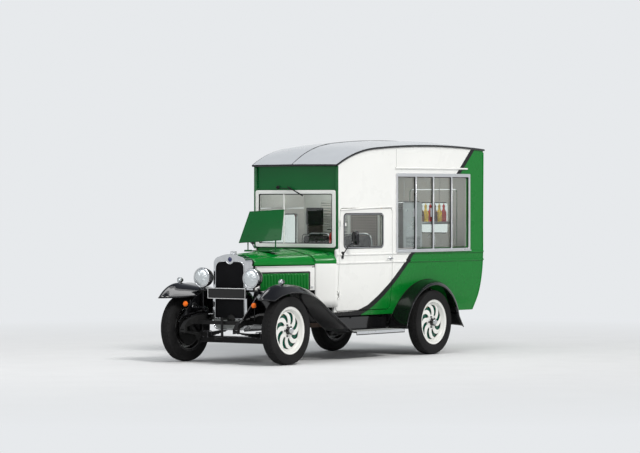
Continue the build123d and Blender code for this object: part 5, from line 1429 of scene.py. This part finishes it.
for y in (2665, 2755):
    levers.append(lathe((286, y, 1445), (0, 0, -1), NOZZLE, 20))
    levers.append(tube([(272, y, 1545), (262, y, 1600)], 4, 10))
    levers.append(lathe((262, y, 1595), (-0.15, 0, 1), KNOB, 16))
piece("machine_levers", levers, gloss_black)
vents = [strip(2560, 2860, z, z + 5, flank(558.5), -0.5, 1) for z in (1250 + 16 * i for i in range(9))]
piece("machine_vents", vents, seal)

# Chest freezer with its lid, gasket and handle
piece("freezer_case", block((-560, 2400, 645), (-100, 3700, 1165)), lining, slot="frame_white", edge=(18, 4),
      replaces=("freezer",))
piece("freezer_gasket", block((-553, 2407, 1163), (-107, 3693, 1174)), seal)
piece("freezer_lid", block((-560, 2400, 1173), (-100, 3700, 1225)), lining, slot="frame_white", edge=(16, 4))
grip = [(-101, 2950, 1200), (-80, 2955, 1200), (-78, 2980, 1200), (-78, 3120, 1200), (-80, 3145, 1200),
        (-101, 3150, 1200)]
grille = [strip(2460, 2780, z, z + 7, flank(-100.5), -1, 2) for z in (700 + 18 * i for i in range(7))]
piece("freezer_handle", [tube(grip, 6, 12)] + grille, chrome)
piece("freezer_base", block((-545, 2415, 627), (-115, 3685, 647)), seal)

# Shelves seen through the service window: cones on the right wall, bottles on one that hangs; jars
shelf = [block((-600, 2300, 1640), (-400, 3600, 1660))]
shelf += [block((-600, y, 1560), (-585, y + 20, 1640)) for y in (2450, 2950, 3420)]
piece("wall_shelf", shelf, steel, edge=(2, 1))
STACKED = [(40 + 4 * (k % 2), 12 + 14 * k) for k in range(14)]
CONES = [(0, 0), (36, 0), (40, 10)] + STACKED + [(38, 215), (0, 215)]
piece("cone_stacks", [lathe((-490, 2740 + 155 * i, 1660), UP, CONES, 24) for i in range(6)], wafer)
shelf = [block((x0, 2980, 1528), (x1, 3820, z)) for x0, x1, z in ((215, 395, 1538), (215, 221, 1558),
                                                                 (389, 395, 1558))]
for y in (3020, 3780):
    top = roof_edge((y - SCREEN_Y) / math.cos(FLARE)) - 10
    shelf += [tube([(x, y, 1532), (x, y, top)], 4, 8) for x in (218, 392)]
piece("hanging_shelf", shelf, steel)
BOTTLE = [(0, 0), (31, 0), (34, 4), (34, 120), (31, 138), (17, 162), (14, 172), (14, 190), (17, 192),
          (17, 212), (6, 224), (3, 246), (0, 246)]
JAR = [(0, 0), (50, 0), (52, 8), (52, 130), (46, 142), (46, 150), (50, 152), (50, 176), (20, 186), (12, 200),
       (0, 202)]
for colour, mat, first in (("yellow", sauce_yellow, 0), ("red", red_paint, 1), ("brown", sauce_brown, 2)):
    bottles = [lathe((305, 3060 + 98 * i, 1538), UP, BOTTLE, 24) for i in range(first, 8, 3)]
    piece("bottles_" + colour, bottles, mat)
piece("topping_jars", [lathe((-250, 2600 + 170 * i, 1225), UP, JAR, 32) for i in range(4)], steel)

# Driver's place: steering wheel, column, dash, levers, seats
foot, head = at(-330, 985, 690), at(-330, 1330, 1060)
axis, across, along_rim = axes(head - foot)
RIM_R = 205


def spoke_way(t):
    """Out from the steering wheel's middle at an angle."""
    return across * math.cos(t) + along_rim * math.sin(t)


rim = []
for t in turns(96):
    grip = 11.8 + 0.7 * math.cos(24 * t)
    rim.append([head + spoke_way(t) * (RIM_R + grip * math.cos(a)) + axis * (grip * math.sin(a))
                for a in turns(12)])
piece("steering_rim", hoop(rim), seal, "steering_wheel", "chassis_black", sharp=60,
      replaces=("steering_wheel",))
spokes = [lathe(foot, axis, [(0, 10), (13.8, 10), (13.8, 480), (0, 480)], 20)]
for k in range(4):
    out = spoke_way(math.pi / 4 + k * math.pi / 2)
    line = [head + out * r - axis * low for r, low in ((20, 20), (90, 16), (160, 4), (200, 0))]
    spokes.append(tube(line, 7.2, 12, 0.6))
spokes.append(lathe(head - axis * 30, axis, [(0, 0), (34, 0), (34, 12), (26, 24), (0, 26)], 32))
piece("steering_spokes", spokes, steel, "steering_wheel")
button = lathe(head - axis * 6, axis, [(0, 0), (20, 0), (20, 6), (14, 11), (0, 12)], 28)
piece("steering_button", button, gloss_black, "steering_wheel")
DASH_Y = 1094.5
DIALS = ((-140, 47, 40), (0, 40, 33), (110, 28, 22), (185, 28, 22))
dials, faces = [], []
for x, r, face in DIALS:
    bezel = [(0, 0), (r, 0), (r, 8), (r - 4, 11), (r - 6, 6), (0, 6)]
    dials.append(lathe((x, DASH_Y, 1150), BACKWARD, bezel, 40))
    faces.append(lathe((x, DASH_Y + 6, 1150), BACKWARD, [(0, 0), (face, 0), (face, 1), (0, 1)], 36))
piece("dash_dials", dials, chrome)
piece("dash_faces", faces, lining)
piece("dash_panel", slab(rounded(-210, 240, 1085, 1212, 20), facing(DASH_Y, 1), -1, 2.5), gloss_black)


def pedal_face(x, z, out):
    """The sloping plane of the pedals' pads."""
    return at(x, 1100 + (z - 742) * 0.5 + out, z)


levers = [tube(curve_through([(-20, 1300, 625), (-20, 1330, 780), (-30, 1420, 930)]), 7),
          tube(curve_through([(60, 1360, 625), (60, 1380, 760), (60, 1470, 880)]), 8),
          lathe((-30, 1420, 925), (0, 0.5, 1), [(0, 0), (14, 4), (20, 18), (15, 32), (0, 38)], 20)]
PEDALS = (-400, -300, -200)
levers += [tube([(x, 1020, 720), (x, 1100, 760)], 7, 10) for x in PEDALS]
levers += [slab(rounded(x - 28, x + 28, 742, 800, 10), pedal_face, 0, 7) for x in PEDALS]
piece("cab_levers", levers, chassis_black)
bottle = [(0, 0), (34, 0), (36, 6), (36, 150), (30, 168), (14, 178), (12, 188), (0, 188)]
piece("extinguisher", lathe((456, 1225, 1268), UP, bottle, 32), red_paint)
valve = [block((444, 1218, 1452), (468, 1232, 1474)),
         tube([(456, 1225, 1472), (434, 1205, 1486), (406, 1200, 1480)], 5, 8),
         tube([(456, 1225, 1460), (422, 1225, 1440), (416, 1225, 1340)], 6, 8)]
piece("extinguisher_valve", valve, seal)

PAD_CUTS = 22
VOXEL = 6.5
SWELL = 12
PAD_FRAMES = 20
CHANNELS = (-120, -60, 0, 60, 120)
CHANNEL_DEPTH = 7.5
CHANNEL_WIDTH = 6.2
PIPING_PULL = 5.6


def pad_mesh(size):
    """A crowned, round-edged cushion whose sides pull in between its corners, as a mesh in metres."""
    sx, sy, sz = (s * MM / 2 for s in size)
    bm = bmesh.new()
    bmesh.ops.create_cube(bm, size=2.0)
    bmesh.ops.subdivide_edges(bm, edges=bm.edges, cuts=PAD_CUTS, use_grid_fill=True)
    for vert in bm.verts:
        x, y, z = vert.co
        q = max((abs(x) ** 8 + abs(y) ** 8 + abs(z) ** 3.2) ** (1 / 8), 0.6)
        pull_x = 1 - 0.035 * (1 - y * y) * (abs(x) > 0.6)
        pull_y = 1 - 0.035 * (1 - x * x) * (abs(y) > 0.6)
        rise = 0.78 + 0.30 * (1 - x * x) * (1 - y * y)
        vert.co = Vector((x / q * sx * pull_x, y / q * sy * pull_y, z / q * sz * rise))
    me = bpy.data.meshes.new("pad")
    bm.to_mesh(me)
    bm.free()
    return me


def inflate(me, name):
    """Blow the pad up as cloth, hold back how far a point may go, and give its mesh back."""
    obj = bpy.data.objects.new(name + "_sim", me)
    SCENE.collection.objects.link(obj)
    mod = obj.modifiers.new("remesh", "REMESH")
    mod.mode = "VOXEL"
    mod.voxel_size = VOXEL * MM
    base = evaluated(obj)
    obj.modifiers.clear()
    obj.data = base
    start = [v.co.copy() for v in base.vertices]
    cloth = obj.modifiers.new("cloth", "CLOTH")
    cloth.settings.use_pressure = True
    cloth.settings.uniform_pressure_force = 4.0
    cloth.settings.effector_weights.gravity = 0.0
    cloth.settings.quality = 4
    cloth.settings.mass = 0.3
    cloth.point_cache.frame_start = 1
    cloth.point_cache.frame_end = PAD_FRAMES
    for number in range(1, PAD_FRAMES + 1):
        SCENE.frame_set(number)
    done = evaluated(obj)
    for v, s in zip(done.vertices, start):
        d = v.co - s
        if d.length > SWELL * MM:
            v.co = s + d.normalized() * SWELL * MM
    SCENE.frame_set(1)
    bpy.data.objects.remove(obj)
    return done


def piping(size, m):
    """A cord round the pad's edge, pulled in between its corners as the pad is."""
    half_x, half_y = size[0] / 2, size[1] / 2
    line = []
    for x, y in rounded(4 - half_x, half_x - 4, 4 - half_y, half_y - 4, 34, 5):
        pull_x = PIPING_PULL * math.copysign(1 - (y / half_y) ** 2, x)
        pull_y = PIPING_PULL * math.copysign(1 - (x / half_x) ** 2, y)
        line.append(m @ (Vector((x - pull_x, y - pull_y, size[2] * 0.30)) * MM) / MM)
    return tube(line + [line[0]], 4.2, 8)


def cushion(name, size, place, replaces=()):
    """A seat pad at both seats: simulated once, sewn with channels along its length, and piped round."""
    me = pad_mesh(size)
    me = inflate(me, name)
    for v in me.vertices:
        if v.co.z > size[2] * MM * 0.18:
            for c in CHANNELS:
                v.co.z -= CHANNEL_DEPTH * MM * math.exp(-((v.co.x / MM - c) / CHANNEL_WIDTH) ** 2)
    for tag, hand in HANDS:
        copy = me.copy()
        copy.name = f"{name}_{tag}"
        copy.transform(place(hand))
        obj = wrap(f"{name}_{tag}", copy, leather, slot="seat_leather", sharp=80,
                   replaces=replaces if hand > 0 else ())
        mod = obj.modifiers.new("smooth", "SUBSURF")
        mod.levels = mod.render_levels = 1
        piece(f"{name}_piping_{tag}", piping(size, place(hand)), seal)


def at_seat(y, z, tilt):
    """Places of a pad at both seats, as matrices in metres."""
    return lambda hand: (Matrix.Translation(at(hand * 290, y, z) * MM)
                         @ Matrix.Rotation(math.radians(tilt), 4, "X"))


cushion("seat_squab", (392, 425, 125), at_seat(1745, 885, 3), ("seats",))
cushion("seat_back", (388, 470, 85), at_seat(1930, 1185, 84))
HALF_FRAME = ((170, 1985, 800), (180, 1990, 1200), (150, 1992, 1400))
for tag, hand in HANDS:
    x = hand * 290
    boxes = [block((x - 185, 1575, 627), (x + 185, 1985, 655)),
             block((x - 170, 1590, 655), (x + 170, 1975, 825))]
    piece("seat_box_" + tag, boxes, chassis_black, edge=(6, 3))
    line = [(x - dx, y, z) for dx, y, z in HALF_FRAME] + [(x, 1992, 1425)]
    line += [(x + dx, y, z) for dx, y, z in reversed(HALF_FRAME)]
    piece("seat_frame_" + tag, tube(curve_through(line), 10), steel)

# Rear: belts, window, hinges, handle, lamps and a bare plate
back = facing(REAR_Y, 1)
REAR_WINDOW = (-210, 210, 1410, 1790)
REAR_ROSE = [(0, 0), (22, 0), (22, 5), (16, 9), (10, 11), (9, 28), (11, 36), (0, 38)]
for name, grows, out, depth, bevel, mat, slot in (
        ("seal", ((16, 50), (-12, 32)), -2, 12, 3, seal, None),
        ("trim", ((10, 46), (3, 40)), 4.5, 3, 1, chrome, None),
        ("pane", ((-4, 36),), -12, 5, 0.5, clear_glass, "window_glass")):
    lines = [grown(REAR_WINDOW, by, r) for by, r in grows]
    plate("rear_window_" + name, lines, upright(REAR_Y + out, -1), depth, bevel, mat, "rear_door", slot)
half = FRONT_HALF + SIDE_LENGTH * math.sin(FLARE) - 4
door_belts, panel_belts = [], []
for z in (1101, 1197):
    door_belts.append(tube([back(x, z, -1) for x in (-330, 0, 330)], 6.5, 10))
    panel_belts += [tube([back(s * x, z, -1) for x in (362, 500, half)], 6.5, 10) for s in (-1, 1)]
piece("rear_belt_door", door_belts, green, "rear_door")
piece("rear_belt_panel", panel_belts, green)
for i, (z, low) in enumerate(((860, -58), (1750, -18))):
    strap = [(-342, z - 13), (-262, z - 9), (-252, z), (-262, z + 9), (-342, z + 13)]
    hinge = [lathe(back(-345, z - 29.5, 14), UP, BARREL, 20), slab(strap, back, low, 10)]
    piece(f"rear_hinge_{i}", hinge, green, "rear_door", edge=(1.2, 1))
lever = spots(back, (292, 1180, 32), (265, 1182, 34), (225, 1181, 35), (190, 1177, 32))
handle = lever_handle(back(290, 1180, -2), BACKWARD, REAR_ROSE, lever)
piece("rear_handle", handle, chrome, "rear_door")
LAMP_BAR_Y = 3790.3
LAMP_CASE = [(0, 0), (30, 0), (37.5, 6), (38, 24), (38.5, 30), (36, 33), (32, 30)]
LAMP_LENS = [(32.5, 20), (32.5, 31), (28, 37), (18, 39.5), (0, 40)]
bar = [block((x0, LAMP_BAR_Y, z0), (x1, LAMP_BAR_Y + 8, z1)) for x0, x1, z0, z1 in (
    (-445, 445, 500, 530), (-195, -165, 395, 502), (165, 195, 395, 502), (-445, -415, 442, 502),
    (415, 445, 442, 502))]
piece("rear_lamp_bar", bar, chassis_black, edge=(2, 1), replaces=("rear_lamps",))
for name, hand in HANDS:
    c = at(hand * 430, LAMP_BAR_Y + 6, 442)
    piece("rear_lamp_case_" + name, lathe(c, BACKWARD, LAMP_CASE, 40), gloss_black)
    piece("rear_lamp_lens_" + name, lathe(c, BACKWARD, LAMP_LENS, 40), red_lens)
bare_plate("rear_plate", LAMP_BAR_Y + 10, 1, 336.5, (-2, 3), LAMP_BAR_Y + 12.5, 3.5)

# Camera at the photograph's place
PHOTO_WIDTH = 640
FOCAL_PIXELS = 2997.4
cam = bpy.data.cameras.new("camera")
cam.sensor_width = 36
cam.lens = FOCAL_PIXELS * cam.sensor_width / PHOTO_WIDTH
cam.clip_end = 200
cam_obj = bpy.data.objects.new("camera", cam)
cam_obj.location = at(20387.1, -26526.4, 1834.9) * MM
cam_obj.rotation_euler = (math.pi / 2 - 0.0093, 0.0007, math.radians(35.92))
SCENE.collection.objects.link(cam_obj)
SCENE.camera = cam_obj
SCENE.view_settings.view_transform = "Standard"

# World: a pale backdrop, weaker as light than as seen, with a darker ceiling for reflections
BACKDROP = (0.80, 0.82, 0.84)
world = bpy.data.worlds.new("studio")
SCENE.world = world
world.use_nodes = True
nt = world.node_tree
path = nt.nodes.new("ShaderNodeLightPath")
camera_ray, through, mirror_ray = (Value(nt, path.outputs[f"Is {kind} Ray"])
                                   for kind in ("Camera", "Transmission", "Glossy"))
seen = camera_ray.most(through).most(mirror_ray)
ceiling = coordinates(nt, "Generated")[2].ranged(0.30, 0.75) * seen
settle(nt, nt.nodes["Background"], Strength=seen.ranged(0.0, 1.0, 0.62, 1.0),
       Color=ceiling.mixed(BACKDROP, (0.27, 0.30, 0.36)))


# Lights: a soft sun, and lamps over the truck and in its cabin
def light(name, kind, rotation, energy):
    lamp = bpy.data.lights.new(name, kind)
    lamp.energy = energy
    obj = bpy.data.objects.new(name, lamp)
    obj.rotation_euler = rotation.to_euler()
    SCENE.collection.objects.link(obj)
    return obj


def area(name, place, size, power, target=(0, 1200, 1000)):
    """A soft lamp that faces its target; its size is in metres."""
    obj = light(name, "AREA", (at(*target) - at(*place)).to_track_quat("-Z", "Y"), power)
    obj.location = at(*place) * MM
    obj.data.shape = "RECTANGLE"
    obj.data.size, obj.data.size_y = size
    return obj


sun = light("sun", "SUN", Vector((0.72, -0.20, 0.66)).to_track_quat("Z", "Y"), 1.85)
sun.data.angle = math.radians(14)
sun.data.color = (1.0, 0.985, 0.955)
area("front_panel_light", (-3500, -7500, 4500), (4, 3), 110)
area("overhead", (1500, 500, 7500), (3, 5), 120)
glint = area("fender_glint", (1300, -1300, 6500), (2.6, 5.0), 210, (1300, -1300, 0))
glint.visible_diffuse = False
area("saloon_light", (0, 2750, 2360), (0.7, 1.6), 9, (0, 2750, 0))
area("cab_light", (0, 1600, 2200), (0.6, 0.4), 4, (0, 1620, 0))

# Floor: pale, and fading into the backdrop
floor_mat, nt, bsdf = material("studio_floor")
cloud = noise(nt, 1.5, 4).ranged(0.3, 0.7)
settle(nt, bsdf, Base_Color=cloud.mixed((0.74, 0.745, 0.75), (0.77, 0.775, 0.78)), Roughness=0.8,
       Specular_IOR_Level=0.1)
x, y, _ = coordinates(nt)
glow = nt.nodes.new("ShaderNodeEmission")
settle(nt, glow, Color=BACKDROP)
fade = nt.nodes.new("ShaderNodeMixShader")
feed(nt, hypotenuse(x, y).ranged(3.5, 11.0), fade.inputs[0])
nt.links.new(bsdf.outputs[0], fade.inputs[1])
nt.links.new(glow.outputs[0], fade.inputs[2])
nt.links.new(fade.outputs[0], nt.nodes["Material Output"].inputs["Surface"])
FLOOR_HALF = 60
floor_mesh = bpy.data.meshes.new("studio_floor")
corners = [(-FLOOR_HALF, -FLOOR_HALF, 0), (FLOOR_HALF, -FLOOR_HALF, 0), (FLOOR_HALF, FLOOR_HALF, 0),
           (-FLOOR_HALF, FLOOR_HALF, 0)]
floor_mesh.from_pydata(corners, [], [(0, 1, 2, 3)])
floor_mesh.materials.append(floor_mat)
floor_obj = bpy.data.objects.new("studio_floor", floor_mesh)
SCENE.collection.objects.link(floor_obj)
